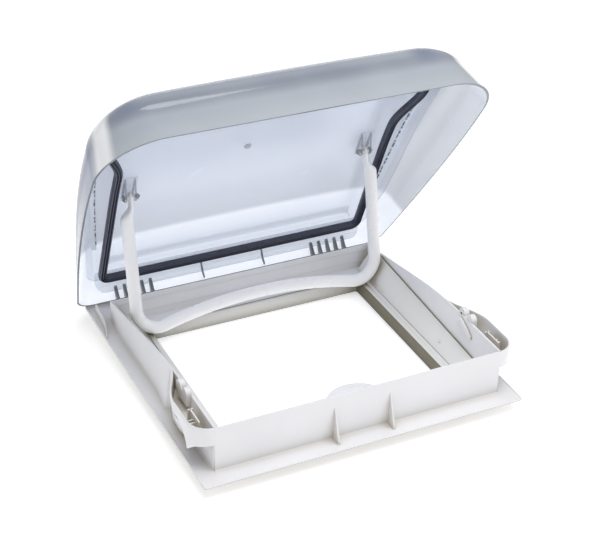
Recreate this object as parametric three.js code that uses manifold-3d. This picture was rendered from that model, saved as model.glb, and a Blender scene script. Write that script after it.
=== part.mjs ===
// A caravan rooflight: a moulded roof frame, a double acrylic lid hinged along its rear edge, and a tube
// bow that swings on the lid and slides along the frame to hold the lid open.
//
// Units are millimetres. X runs across, +Y runs from the front edge to the hinge, +Z is up. Everything is
// drawn from the frame's own datum, with Z = 0 on the face that lies on the roof, and the lid and the bow
// are drawn closed. The last lines open them and bring the datum to the middle of the bounding box's base.

import * as THREE from 'three';
import { mergeVertices } from 'three/addons/utils/BufferGeometryUtils.js';
import Module from 'manifold-3d';

const wasm = await Module();
wasm.setup();

// ---- driving dimensions -------------------------------------------------------------------------------

const GAP = 0.3;                     // clearance between pieces that rest on each other

const FLANGE_HALF_WIDTH = 260;
const FLANGE_DEPTH = 498;
const FLANGE_THICK = 3;
const FLANGE_LIP = 1.2;              // height of the raised line round the flange's edge

const NECK_HALF_WIDTH = 187;         // inside of the collar that goes down into the roof opening
const NECK_FRONT = 37;
const NECK_REAR = 397;
const NECK_DROP = 20;
const NECK_WALL = 2.2;
const NECK_STEP = 0.4;
const NECK_STEP_DROP = 1.5;

const WALL = 3;                      // thickness of the front wall and of the pods' outer walls
const FRONT_WALL_Y = 31;             // outer face of the front wall
const SIDE_WALL_IN = 229.5;          // inner face of the side walls
const SIDE_WALL_OUT = 238;
const REAR_WALL_Y = 448;             // inner top edge of the rear wall

const RIM_TOP = 77;                  // height of the rim over the front half
const RIM_BEND_Y = 206;              // where the level rim and the sloping rim would meet
const RIM_BEND_LENGTH = 60;          // length of the soft bend on each side of that point
const RIM_SLOPE = 0.172;             // fall of the rim towards the hinge

const POD_HALF_WIDTH = 260.5;        // middle of the pods' outer walls
const POD_FRONT_Y = 110;             // the pods keep their full width in front of this
const POD_REAR_Y = 199;              // and have run back into the side walls here
const POD_CORNER = 30;
const POD_FLOOR = 47;                // underside of the pods

const HINGE_Y = 480;
const HINGE_Z = 9;
const LID_OPEN = 58.5;               // degrees from shut to fully open

const SEAL_WIDTH = 13;
const SEAL_HEIGHT = 10;
const SEAL_BASE = GAP + 0.1;         // underside of the seal above the rim when shut
const PANE_THICK = 3;
const PANE_FLANGE = SEAL_BASE + SEAL_HEIGHT + GAP;
const PANE_RISE = 22.5;              // underside of the raised middle of the pane above the rim
const PANE_CORNER = 55;              // radius of the raised middle's front corners
const PANE_DROP = 7.5;               // how far the sides of the pane's flange are bent down
const PANE_REAR_Y = 458;
const DOME_RISE = 34.5;              // top of the outer dome above the rim, along the middle line
const DOME_SAG = 4;                  // how much lower the top is DOME_SAG_X from the middle line
const DOME_SAG_X = 250;
const DOME_CROWN = 4;
const DOME_THICK = 3;
const DOME_FRONT_Y = -23.6;
const DOME_REAR_Y = 486;
const DOME_HALF_WIDTH = 315;
const DOME_REAR_TAPER = 36;          // how much narrower each side is at the hinge

const BOW_RADIUS = 10;
const BOW_HALF_WIDTH = 211.5;
const BOW_MIDDLE = 199;              // pivot to the middle of the cross bar
const BOW_BAR_RADIUS = 710;          // the cross bar is a shallow arc that bulges towards the pivots
const BOW_BEND = 36;                 // radius of the two corners
const BOW_PIVOT_Y = 263.5;
const BOW_PIVOT_Z = 78.4;
const BOW_BLADE_X = 202.5;           // middle of the flattened tube ends
const BOW_SHUT_DIP = 4.2;            // degrees that the shut bow points below level
const BOW_SWING = 132.1;             // degrees that the bow turns against the lid

const SHELF_RADIUS = 53.5;
const SHELF_TOP = 47.5;
const SHELF_THICK = 14;

const CATCH_FRONT_Y = 112;
const CATCH_REAR_Y = 152;
const CATCH_SEAT_Z = 60;
const CATCH_LOBE_Z = 78;
const CATCH_LOBE_RADIUS = 9;
const CATCH_PIVOT_Y = 141;
const CATCH_PIVOT_Z = 68;

const RAIL_SCREW_X = 217;
const RAIL_SCREW_Y = [84, 170];
const RAIL_SCREW_SEAT = 12;

const BUTTON_Y = 62;
const BUTTON_RADIUS = 11;
const BUTTON_BORE = BUTTON_RADIUS + 0.8;
const BUTTON_TRAVEL = 2;

const FINGER_PITCH = 15;
const FINGER_COUNT = 5;
const FINGER_FIRST_X = 147;
const FINGER_WIDTH = 5;

const LEAF_HALF_WIDTH = 240;
const LEAF_END_Y = 475;
const LEAF_END_Z = 27.5;
const LEAF_CORNER = 18;

const VENT_PLUG_X = -14;
const VENT_PLUG_AHEAD = 58;          // distance of the plug in front of the bow's pivots

const EAR_THICK = 3;
const EAR_OFFSET = 8;

// ---- materials ----------------------------------------------------------------------------------------

const look = (color, roughness, metalness = 0) =>
  new THREE.MeshStandardMaterial({ color, roughness, metalness });

const whitePlastic = look(0xebebee, 0.42);
const greyWhitePlastic = look(0xc9c8c3, 0.5);
const smokyAcrylic = look(0xaab2bd, 0.12);
const clearAcrylic = look(0xdde2ea, 0.08);
const blackRubber = look(0x2a2c38, 0.65);
const bondTape = look(0x9aa3ab, 0.6);
const whiteTube = look(0xe9e9ec, 0.35);
const steel = look(0x9a9c9c, 0.3, 1);

// ---- helpers ------------------------------------------------------------------------------------------

/** Turns a closed geometry into a solid that can be joined and cut. */
function solid(geometry) {
  const bare = geometry.index ? geometry.toNonIndexed() : geometry.clone();
  bare.deleteAttribute('normal');
  bare.deleteAttribute('uv');
  const merged = mergeVertices(bare, 1e-4);
  return new wasm.Manifold(new wasm.Mesh({
    numProp: 3,
    vertProperties: new Float32Array(merged.attributes.position.array),
    triVerts: new Uint32Array(merged.index.array),
  }));
}

/** Turns a solid back into a geometry for a mesh. */
function geometryOf(body) {
  const mesh = body.getMesh();
  const geometry = new THREE.BufferGeometry();
  geometry.setAttribute('position', new THREE.BufferAttribute(mesh.vertProperties, 3));
  geometry.setIndex(new THREE.BufferAttribute(mesh.triVerts, 1));
  geometry.computeVertexNormals();
  return geometry;
}

const join = (first, ...others) => others.reduce((sum, next) => sum.add(next), first);
const cut = (first, ...others) => others.reduce((rest, next) => rest.subtract(next), first);

/** A box between two corners. */
function box(x0, x1, y0, y1, z0, z1) {
  const geometry = new THREE.BoxGeometry(x1 - x0, y1 - y0, z1 - z0);
  return solid(geometry.translate((x0 + x1) / 2, (y0 + y1) / 2, (z0 + z1) / 2));
}

const outline = (points) => new THREE.Shape(points.map(([u, v]) => new THREE.Vector2(u, v)));
const extrude = (points, depth) => new THREE.ExtrudeGeometry(outline(points), { depth, bevelEnabled: false });

/** An outline of (y, z) points carried from x0 to x1. */
function prismX(points, x0, x1) {
  const turn = new THREE.Matrix4().makeBasis(
    new THREE.Vector3(0, 1, 0), new THREE.Vector3(0, 0, 1), new THREE.Vector3(1, 0, 0));
  return solid(extrude(points, x1 - x0).applyMatrix4(turn).translate(x0, 0, 0));
}

/** An outline of (x, z) points carried from y0 to y1. */
function prismY(points, y0, y1) {
  return solid(extrude(points, y1 - y0).rotateX(Math.PI / 2).translate(0, y1, 0));
}

/** An outline of (x, y) points carried from z0 to z1. */
function prismZ(points, z0, z1) {
  return solid(extrude(points, z1 - z0).translate(0, 0, z0));
}

/** A round bar along X. */
function barX(radius, x0, x1, y, z, sides = 16) {
  const geometry = new THREE.CylinderGeometry(radius, radius, x1 - x0, sides).rotateZ(Math.PI / 2);
  return solid(geometry.translate((x0 + x1) / 2, y, z));
}

/** A round bar along Z. */
function barZ(radius, z0, z1, x, y, sides = 24) {
  const geometry = new THREE.CylinderGeometry(radius, radius, z1 - z0, sides).rotateX(Math.PI / 2);
  return solid(geometry.translate(x, y, (z0 + z1) / 2));
}

/** The same solid on the other side of the middle plane. */
const mirrored = (body) => body.mirror([1, 0, 0]);

/** Points of an arc about (cx, cy), from one angle to another in degrees. */
function arc(cx, cy, radius, from, to, steps) {
  return Array.from({ length: steps + 1 }, (_, i) => {
    const angle = THREE.MathUtils.degToRad(from + ((to - from) * i) / steps);
    return [cx + radius * Math.cos(angle), cy + radius * Math.sin(angle)];
  });
}

/** Adds the other half to the right half of a loop that runs from the front round to the rear. */
const wholeLoop = (half) => [...half, ...half.map(([x, y]) => [-x, y]).reverse()];

/** Moves every point of a loop outwards by a distance. */
function offsetLoop(loop, distance) {
  return loop.map((point, i) => {
    const before = loop[(i + loop.length - 1) % loop.length];
    const after = loop[(i + 1) % loop.length];
    const along = new THREE.Vector2(after[0] - before[0], after[1] - before[1]).normalize();
    return [point[0] + along.y * distance, point[1] - along.x * distance];
  });
}

/** Joins rings of equal length into one closed surface. Each ring is a list of [x, y, z]. */
function skin(rings, { closed }) {
  const count = rings[0].length;
  const index = [];
  const quad = (a, b, c, d) => index.push(a, b, c, a, c, d);
  const bands = closed ? rings.length : rings.length - 1;
  for (let ring = 0; ring < bands; ring += 1) {
    const next = (ring + 1) % rings.length;
    for (let i = 0; i < count; i += 1) {
      const j = (i + 1) % count;
      quad(ring * count + i, ring * count + j, next * count + j, next * count + i);
    }
  }
  if (!closed) {
    const last = (rings.length - 1) * count;
    for (let i = 0; i < count / 2 - 1; i += 1) {
      quad(i + 1, i, count - 1 - i, count - 2 - i);
      quad(last + i, last + i + 1, last + count - 2 - i, last + count - 1 - i);
    }
  }
  const geometry = new THREE.BufferGeometry();
  geometry.setAttribute('position', new THREE.Float32BufferAttribute(rings.flat(2), 3));
  geometry.setIndex(index);
  return geometry;
}

/** A named mesh from a solid or a geometry. */
function piece(name, shape, material) {
  const mesh = new THREE.Mesh(shape.isBufferGeometry ? shape : geometryOf(shape), material);
  mesh.name = name;
  return mesh;
}

// ---- the rim, which the frame, the seal and the lid all follow ----------------------------------------

/** Height of the frame's rim: level in front, then falling to the hinge, with a soft bend between. */
function rimHeight(y) {
  const past = y - (RIM_BEND_Y - RIM_BEND_LENGTH);
  if (past <= 0) return RIM_TOP;
  if (past >= 2 * RIM_BEND_LENGTH) return RIM_TOP - RIM_SLOPE * (y - RIM_BEND_Y);
  return RIM_TOP - (RIM_SLOPE * past * past) / (4 * RIM_BEND_LENGTH);
}

/** Middle line of the rim in plan, right half: front corner, pod, side wall, rear corner. */
function rimHalfLoop() {
  const sideX = SIDE_WALL_IN + 2;
  const rearY = REAR_WALL_Y + 1.5;
  const corner = arc(POD_HALF_WIDTH - POD_CORNER, FRONT_WALL_Y + 1.5 + POD_CORNER, POD_CORNER, -90, 0, 6);
  const flare = Array.from({ length: 7 }, (_, i) => {
    const run = i / 6;
    const width = (1 + Math.cos(Math.PI * run)) / 2;
    return [sideX + (POD_HALF_WIDTH - sideX) * width, POD_FRONT_Y + (POD_REAR_Y - POD_FRONT_Y) * run];
  });
  const side = [216, 232, 249, RIM_BEND_Y + RIM_BEND_LENGTH, 350].map((y) => [sideX, y]);
  const rear = arc(sideX - 12, rearY - 12, 12, 0, 90, 3);
  return [...corner, ...flare, ...side, ...rear];
}

const RIM_LOOP = wholeLoop(rimHalfLoop());

/** A ring that follows the rim in plan at an offset, and in height at a rise above it. */
const rimRing = (offset, rise) => offsetLoop(RIM_LOOP, offset).map(([x, y]) => [x, y, rimHeight(y) + rise]);

// ---- roof frame ---------------------------------------------------------------------------------------

/** Everything above the rim, or above a line some way under it, to trim the walls and rails with. */
function aboveRim(under = 0) {
  const front = -10;
  const rear = FLANGE_DEPTH;
  const high = 140;
  const bend = Array.from({ length: 9 }, (_, i) => RIM_BEND_Y - RIM_BEND_LENGTH + (i * RIM_BEND_LENGTH) / 4);
  const line = [front, ...bend, rear].map((y) => [y, rimHeight(y) - under]);
  return prismX([...line, [rear, high], [front, high]], -300, 300);
}

/** Flat flange with its raised edge and the opening for the neck collar. */
function flange() {
  const border = 2.5;
  const plate = box(-FLANGE_HALF_WIDTH, FLANGE_HALF_WIDTH, 0, FLANGE_DEPTH, 0, FLANGE_THICK + FLANGE_LIP);
  const recess = box(
    -FLANGE_HALF_WIDTH + border, FLANGE_HALF_WIDTH - border, border, FLANGE_DEPTH - border,
    FLANGE_THICK, FLANGE_THICK + 10);
  const room = NECK_WALL + GAP;
  const opening = box(
    -NECK_HALF_WIDTH - room, NECK_HALF_WIDTH + room, NECK_FRONT - room, NECK_REAR + room, -5, 20);
  return cut(plate, recess, opening);
}

/** One of the two hollow pods that widen the front of the frame, on the right. */
function pod() {
  const high = RIM_TOP + 1;
  const outside = offsetLoop(RIM_LOOP, WALL / 2);
  const inside = offsetLoop(RIM_LOOP, -WALL / 2);
  const region = box(SIDE_WALL_IN, 300, 0, POD_REAR_Y + 4, POD_FLOOR, high);
  const shell = cut(prismZ(outside, POD_FLOOR, high), prismZ(inside, POD_FLOOR + WALL, high + 1));
  return shell.intersect(region);
}

/** The T-shaped rib and two prongs that stand on a pod's floor. */
function podRibs() {
  const web = box(243, 245, 56, 90, POD_FLOOR + 1, RIM_TOP - 3);
  const head = box(240, 248, 88, 90.5, POD_FLOOR + 1, RIM_TOP - 3);
  const prongs = [66, 73].map((y) => box(244, 254, y, y + 2, POD_FLOOR + 1, RIM_TOP - 10));
  return join(web, head, ...prongs);
}

/** Side wall on the right, with the notch that holds the catch block. */
function sideWall() {
  const wall = box(SIDE_WALL_IN, SIDE_WALL_OUT, FRONT_WALL_Y + 2, REAR_WALL_Y + 2, FLANGE_THICK - 1, 100);
  const notch = box(SIDE_WALL_IN - 5, SIDE_WALL_OUT + 1, CATCH_FRONT_Y, CATCH_REAR_Y, CATCH_SEAT_Z, 110);
  const slot = box(SIDE_WALL_IN - 5, SIDE_WALL_OUT + 1, 70, 76, 52, RIM_TOP - 4);
  return cut(wall, notch, slot);
}

/** Triangular gusset in front of the front wall. */
function gusset(x) {
  return prismX([[12, FLANGE_THICK - 1], [FRONT_WALL_Y + 1, FLANGE_THICK - 1], [FRONT_WALL_Y + 1, 59],
    [12, FLANGE_THICK + 1]], x - 1.25, x + 1.25);
}

/** Curved rib near the flange's rear corner, on the right. */
function cornerRib() {
  const middle = [[247, 478], [248, 462], [249, 440], [251, 422], [255, 408], [257.2, 398]];
  const near = middle.map(([x, y]) => [x - 1.3, y]);
  const far = middle.map(([x, y]) => [x + 1.3, y]).reverse();
  const fin = prismZ([...near, ...far], FLANGE_THICK - 1, 16);
  const slope = prismX([[440, 17], [390, 17], [390, 5]], 240, 270);
  return cut(fin, slope);
}

const fingerX = (i) => FINGER_FIRST_X + i * FINGER_PITCH;

/** Hinge knuckles on the flange, between the lid's fingers, on the right. */
function knuckles() {
  const hole = barX(2.4, 100, 260, HINGE_Y, HINGE_Z);
  const blocks = Array.from({ length: FINGER_COUNT - 1 }, (_, i) => {
    const x = (fingerX(i) + fingerX(i + 1)) / 2;
    const half = 3.6;
    const foot = box(x - half, x + half, HINGE_Y - 6, HINGE_Y + 6, FLANGE_THICK - 1, HINGE_Z);
    return join(foot, barX(4.6, x - half, x + half, HINGE_Y, HINGE_Z));
  });
  return cut(join(...blocks), hole);
}

function roofFrame() {
  const front = box(
    -SIDE_WALL_OUT + 5, SIDE_WALL_OUT - 5, FRONT_WALL_Y, FRONT_WALL_Y + WALL, FLANGE_THICK - 1, 100);
  const rear = prismX([[433, FLANGE_THICK - 1], [433, FLANGE_THICK], [REAR_WALL_Y, 36], [REAR_WALL_Y, 60],
    [REAR_WALL_Y + WALL, 60], [REAR_WALL_Y + WALL, FLANGE_THICK - 1]], -SIDE_WALL_OUT, SIDE_WALL_OUT);
  const right = join(pod(), podRibs(), sideWall(), cornerRib(), knuckles());
  const gussets = [-45.2, 45.2].map(gusset);
  const walls = join(front, rear, right, mirrored(right), ...gussets);
  return join(flange(), cut(walls, aboveRim()));
}

/** Collar that lines the roof opening, hung from the flange by its lip. */
function neckCollar() {
  const rect = (grow, z0, z1) => box(
    -NECK_HALF_WIDTH - grow, NECK_HALF_WIDTH + grow, NECK_FRONT - grow, NECK_REAR + grow, z0, z1);
  const lipWidth = 9;
  const seat = FLANGE_THICK + GAP;
  const frontTrim = box(-300, 300, 0, FRONT_WALL_Y + WALL + GAP, FLANGE_THICK, 20);
  const skirt = rect(NECK_WALL, -NECK_DROP, -NECK_STEP_DROP);
  const throat = rect(NECK_WALL - NECK_STEP, -NECK_DROP, seat + 1);
  const outside = join(throat, skirt, rect(lipWidth, seat, seat + 1.8));
  return cut(outside, rect(0, -NECK_DROP - 1, 20), frontTrim);
}

// ---- guide rails for the bow --------------------------------------------------------------------------

/** Sloping rail beside the opening, on the right: a wedge that rises towards the hinge. */
function bowRail() {
  const foot = FLANGE_THICK + GAP;
  const [front, rear] = [52, 426];
  const top = (y) => 22 + 0.062 * (y - front);
  const outer = SIDE_WALL_IN - GAP;
  const section = [[203, foot], [outer, foot], [outer, top(rear)], [outer - 1.5, top(rear)]];
  const topLine = [[front - 1, top(front)], [rear + 1, top(rear)], [rear + 1, 90], [front - 1, 90]];
  const wedge = prismY(section, front, rear);
  const above = prismX(topLine, 190, 240);
  const rail = cut(wedge, above, aboveRim(2));
  return cut(rail, ...RAIL_SCREW_Y.map((y) => barZ(1.9, -5, 60, RAIL_SCREW_X, y, 12)),
    ...RAIL_SCREW_Y.map((y) => barZ(6.2, RAIL_SCREW_SEAT, 60, RAIL_SCREW_X, y, 20)));
}

/** Pan-head screw that holds a rail down. */
function railScrew(side, y) {
  const head = barZ(4, RAIL_SCREW_SEAT + GAP, RAIL_SCREW_SEAT + 2.8, side * RAIL_SCREW_X, y, 16);
  const shank = barZ(1.6, FLANGE_THICK + GAP, RAIL_SCREW_SEAT + 1, side * RAIL_SCREW_X, y, 8);
  const crossSlot = (halfX, halfY) => box(
    side * RAIL_SCREW_X - halfX, side * RAIL_SCREW_X + halfX, y - halfY, y + halfY,
    RAIL_SCREW_SEAT + 1.6, RAIL_SCREW_SEAT + 5);
  return cut(join(head, shank), crossSlot(2.4, 0.5), crossSlot(0.5, 2.4));
}

// ---- side catches -------------------------------------------------------------------------------------

/** Two-lobed block that sits in the side wall's notch, on the right. */
function catchBlock() {
  const [inner, outer] = [SIDE_WALL_IN + 2, SIDE_WALL_OUT + 2];
  const [front, rear] = [CATCH_FRONT_Y + GAP, CATCH_REAR_Y - GAP];
  const body = box(inner, outer, front, rear, CATCH_SEAT_Z + GAP, CATCH_LOBE_Z);
  const lobes = [front + CATCH_LOBE_RADIUS, rear - CATCH_LOBE_RADIUS]
    .map((y) => barX(CATCH_LOBE_RADIUS, inner, outer, y, CATCH_LOBE_Z, 20));
  const hole = barX(2.6, inner - 5, outer + 5, rear - CATCH_LOBE_RADIUS, CATCH_LOBE_Z, 16);
  const pivotHole = barX(1.8, inner - 5, inner + 6, CATCH_PIVOT_Y, CATCH_PIVOT_Z, 12);
  return cut(join(body, ...lobes), hole, pivotHole);
}

/** Catch lever in front of the block, with its pivot stub, on the right. */
function catchLever() {
  const [near, far] = [SIDE_WALL_IN - 4.5, SIDE_WALL_IN - 0.6];
  const arm = prismX([[CATCH_PIVOT_Y + 4, CATCH_PIVOT_Z - 4], [CATCH_PIVOT_Y + 3, CATCH_PIVOT_Z + 4],
    [CATCH_PIVOT_Y - 6, CATCH_PIVOT_Z + 3], [112, 60], [107, 56], [108, 50], [118, 51]], near, far);
  const eye = barX(5.5, near, far, CATCH_PIVOT_Y, CATCH_PIVOT_Z, 18);
  const stub = barX(1.5, far - 1, SIDE_WALL_IN + 6, CATCH_PIVOT_Y, CATCH_PIVOT_Z, 10);
  return join(arm, eye, stub);
}

// ---- front shelf with its button ----------------------------------------------------------------------

/** Half-round shelf on the front wall that the shut bow rests over. */
function latchShelf() {
  const back = FRONT_WALL_Y + WALL + GAP;
  const disc = prismZ(arc(0, back, SHELF_RADIUS, 0, 180, 28), SHELF_TOP - SHELF_THICK, SHELF_TOP);
  const pocket = barZ(BUTTON_BORE, SHELF_TOP - SHELF_THICK - 1, SHELF_TOP - 2.5, 0, BUTTON_Y, 28);
  return cut(disc, pocket);
}

/** Push button in the shelf's underside, with the collar that keeps it in. */
function latchButton() {
  const low = SHELF_TOP - SHELF_THICK - 3;
  const face = barZ(BUTTON_RADIUS, low, low + 7, 0, BUTTON_Y, 28);
  const stem = barZ(3, low + 6, low + 9.4, 0, BUTTON_Y, 12);
  return join(face, stem);
}

/** Coil spring between the button and the shelf. */
function latchSpring() {
  const low = SHELF_TOP - SHELF_THICK + 4.9;
  const high = SHELF_TOP - 3.4 - BUTTON_TRAVEL;
  const turns = 3;
  const steps = turns * 10;
  const points = Array.from({ length: steps + 1 }, (_, i) => {
    const angle = (i / steps) * turns * 2 * Math.PI;
    const z = low + ((high - low) * i) / steps;
    return new THREE.Vector3(6 * Math.cos(angle), BUTTON_Y + 6 * Math.sin(angle), z);
  });
  return tube(new THREE.CatmullRomCurve3(points), 0.6, 6, steps);
}

/** A round bar along a curve. */
function tube(curve, radius, sides, steps) {
  const section = outline(arc(0, 0, radius, 0, 360 - 360 / sides, sides - 1));
  return solid(new THREE.ExtrudeGeometry(section, { steps, extrudePath: curve, bevelEnabled: false }));
}

// ---- hinge --------------------------------------------------------------------------------------------

/** Steel rod through the fingers and knuckles of one side. */
function hingeRod(side) {
  const past = 6;
  const rod = barX(2, FINGER_FIRST_X - past, fingerX(FINGER_COUNT - 1) + past, HINGE_Y, HINGE_Z, 12);
  return side < 0 ? mirrored(rod) : rod;
}

// ---- lid ----------------------------------------------------------------------------------------------

/** Half width of the dome's free edge at a distance from the front. */
function domeHalfWidth(y) {
  const from = 100;
  if (y <= from) return DOME_HALF_WIDTH;
  return DOME_HALF_WIDTH - DOME_REAR_TAPER * ((y - from) / (DOME_REAR_Y - 26 - from)) ** 1.6;
}

/** A loop of the dome in plan, drawn in from its free edge by separate amounts. */
function domeLoop(inFront, inSide, inRear, frontCorner, rearCorner) {
  const front = DOME_FRONT_Y + inFront;
  const rear = DOME_REAR_Y - inRear;
  const sideX = (y) => domeHalfWidth(y) - inSide;
  const corner = arc(sideX(0) - frontCorner, front + frontCorner, frontCorner, -90, 0, 8);
  const sideStart = front + frontCorner;
  const sideEnd = rear - rearCorner;
  const side = Array.from({ length: 7 }, (_, i) => sideStart + ((sideEnd - sideStart) * (i + 1)) / 8)
    .map((y) => [sideX(y), y]);
  const back = arc(sideX(sideEnd) - rearCorner, sideEnd, rearCorner, 0, 90, 5);
  return wholeLoop([...corner, ...side, ...back]);
}

/** Height of the dome's free edge, its top, and the shoulder where the skirt turns into the top. */
const domeEdgeHeight = (y) => 4 + 0.025 * (y - DOME_FRONT_Y);
const domeTopHeight = (x, y) => rimHeight(y) + DOME_RISE - DOME_SAG * (x / DOME_SAG_X) ** 2;
function domeShoulderHeight([x, y]) {
  const frontness = THREE.MathUtils.clamp(1 - (y - DOME_FRONT_Y) / 110, 0, 1);
  const share = 0.34 + 0.24 * frontness;
  return domeEdgeHeight(y) + share * (rimHeight(y) + DOME_RISE - domeEdgeHeight(y));
}

/** Rings of one face of the dome, from the free edge to the middle of the top. */
function domeRings(inset) {
  const edge = domeLoop(inset, inset, inset, 92, 28);
  const shoulder = domeLoop(19 + inset, 7 + inset, 3 + inset, 85, 34);
  const crown = domeLoop(64, 66, 74, 70, 30);
  const rings = [edge.map(([x, y]) => [x, y, domeEdgeHeight(y)])];
  const roundSteps = 8;
  for (let i = 0; i <= roundSteps; i += 1) {
    const angle = (i / roundSteps) * (Math.PI / 2);
    const inwards = 1 - Math.cos(angle);
    rings.push(shoulder.map((point, k) => {
      const x = point[0] + (crown[k][0] - point[0]) * inwards;
      const y = point[1] + (crown[k][1] - point[1]) * inwards;
      const low = domeShoulderHeight(point);
      const high = domeTopHeight(x, y) - inset;
      return [x, y, low + (high - low) * Math.sin(angle)];
    }));
  }
  const middleY = 220;
  for (const share of [0.8, 0.55, 0.25]) {
    rings.push(crown.map(([x, y]) => {
      const innerY = middleY + (y - middleY) * share;
      return [x * share, innerY, domeTopHeight(x * share, innerY) - inset + DOME_CROWN * (1 - share * share)];
    }));
  }
  return rings;
}

/** Outer dome: one thin shell, open below. */
function outerDome() {
  return skin([...domeRings(DOME_THICK).reverse(), ...domeRings(0)], { closed: false });
}

/** Half widths of the pane's flange: where it bends down, and at its outer lip. */
const paneBendX = (y) => domeHalfWidth(y) - 38;
const paneLipX = (y) => domeHalfWidth(y) - 26;

/** A ring of the pane's flange. It has as many points as the rim, in the same order. */
function paneRing(sideX, frontY, frontCorner, rearY, riseAt) {
  const rearCorner = 24;
  const cornerY = frontY + frontCorner;
  const corner = arc(sideX(cornerY) - frontCorner, cornerY, frontCorner, -90, 0, 6);
  const sideY = rimHalfLoop().slice(corner.length, -4).map(([, y]) => y);
  const side = sideY.map((y) => [sideX(y), y]);
  const rear = arc(sideX(rearY - rearCorner) - rearCorner, rearY - rearCorner, rearCorner, 0, 90, 3);
  return wholeLoop([...corner, ...side, ...rear]).map(([x, y]) => [x, y, rimHeight(y) + riseAt(y)]);
}

/** The edge of the pane's raised middle: it follows the rim, but with rounder front corners. */
function raisedRing(offset, rise) {
  const loop = rimRing(offset, rise).slice(7, -7);
  const [startX, startY] = [loop[0][0], FRONT_WALL_Y + 1.5 - offset];
  const corner = arc(startX - PANE_CORNER, startY + PANE_CORNER, PANE_CORNER, -90, 0, 6);
  const right = corner.map(([x, y]) => [x, y, rimHeight(y) + rise]);
  const left = right.map(([x, y, z]) => [-x, y, z]).reverse();
  return [...right, ...loop, ...left];
}

/** Inner pane: a wide flange over the seal, with its sides bent down, and a raised middle. */
function innerPane() {
  const flat = () => PANE_FLANGE;
  const bentDown = (y) => PANE_FLANGE - PANE_DROP * THREE.MathUtils.clamp((430 - y) / 60, 0, 1);
  const thicker = (rise) => (y) => rise(y) + PANE_THICK;
  const bend = (rise) => paneRing(paneBendX, 23, 45, PANE_REAR_Y, rise);
  const lip = (rise) => paneRing(paneLipX, 16, 70, PANE_REAR_Y + 1.5, rise);
  const under = [lip(bentDown), bend(flat), rimRing(-9, PANE_FLANGE), raisedRing(-16, PANE_RISE)];
  const over = [
    lip(thicker(bentDown)), bend(thicker(flat)), rimRing(-7, PANE_FLANGE + PANE_THICK),
    raisedRing(-14, PANE_RISE + PANE_THICK)];
  return skin([...under.reverse(), ...over], { closed: false });
}

/** Rubber seal between the pane's flange and the frame's rim. */
function lidSeal() {
  const half = SEAL_WIDTH / 2;
  const [low, high] = [SEAL_BASE, SEAL_BASE + SEAL_HEIGHT];
  const section = [[half - 2, low], [half, low + 2.5], [half - 1, high], [1 - half, high], [-half, low + 2.5],
    [2 - half, low]];
  return skin(section.map(([offset, rise]) => rimRing(offset, rise)), { closed: true });
}

/** Strip of bonding tape between the pane's flange and the dome, on the right. */
function bondStrip() {
  const rise = PANE_FLANGE + PANE_THICK + GAP;
  const rings = [150, 178, 206, 234, 266, 320, 380].map((y) => {
    const [outer, inner] = [paneBendX(y) - 1, paneBendX(y) - 9];
    const low = rimHeight(y) + rise;
    return [[outer, y, low], [inner, y, low], [inner, y, low + 2.5], [outer, y, low + 2.5]];
  });
  return solid(skin(rings, { closed: false }));
}

/** Clear leaf behind the seal, with the fingers that reach down round the hinge rods. */
function hingeLeaf() {
  const flangeRise = PANE_FLANGE + PANE_THICK + GAP;
  const shelf = (y) => rimHeight(y) + flangeRise;
  const [start, bend] = [PANE_REAR_Y - 12.5, PANE_REAR_Y + 3];
  const section = prismX([[start, shelf(start)], [start, shelf(start) + 3], [bend + 1.5, shelf(bend) + 3],
    [LEAF_END_Y, LEAF_END_Z + 1], [LEAF_END_Y - 2.7, LEAF_END_Z - 0.5], [bend, shelf(bend)]],
  -LEAF_HALF_WIDTH, LEAF_HALF_WIDTH);
  const cornerX = LEAF_HALF_WIDTH - LEAF_CORNER;
  const cornerZ = LEAF_END_Z - 0.5 + LEAF_CORNER;
  const front = prismY([[LEAF_HALF_WIDTH, 70], [-LEAF_HALF_WIDTH, 70],
    ...arc(-cornerX, cornerZ, LEAF_CORNER, 180, 270, 5), ...arc(cornerX, cornerZ, LEAF_CORNER, 270, 360, 5)],
  400, 500);
  const finger = (x) => {
    const [near, far] = [x - FINGER_WIDTH / 2, x + FINGER_WIDTH / 2];
    const web = prismX([[LEAF_END_Y - 5, LEAF_END_Z + 2], [LEAF_END_Y - 1, LEAF_END_Z + 4],
      [HINGE_Y + 4.4, HINGE_Z + 1], [HINGE_Y - 4.4, HINGE_Z + 1]], near, far);
    return join(web, barX(4.6, near, far, HINGE_Y, HINGE_Z));
  };
  const fingers = Array.from({ length: FINGER_COUNT }, (_, i) => finger(fingerX(i)));
  const hole = barX(2.4, -300, 300, HINGE_Y, HINGE_Z);
  const right = join(...fingers);
  return cut(join(section.intersect(front), right, mirrored(right)), hole);
}

/** Pressure plug in the pane. */
function ventPlug() {
  const y = BOW_PIVOT_Y - VENT_PLUG_AHEAD;
  const under = rimHeight(y) + PANE_RISE - 0.5;
  const cap = barZ(6, under - 2.6, under - GAP, VENT_PLUG_X, y, 20);
  return join(cap, barZ(3, under - 4, under - 1, VENT_PLUG_X, y, 12));
}

// ---- bow and its brackets -----------------------------------------------------------------------------

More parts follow.
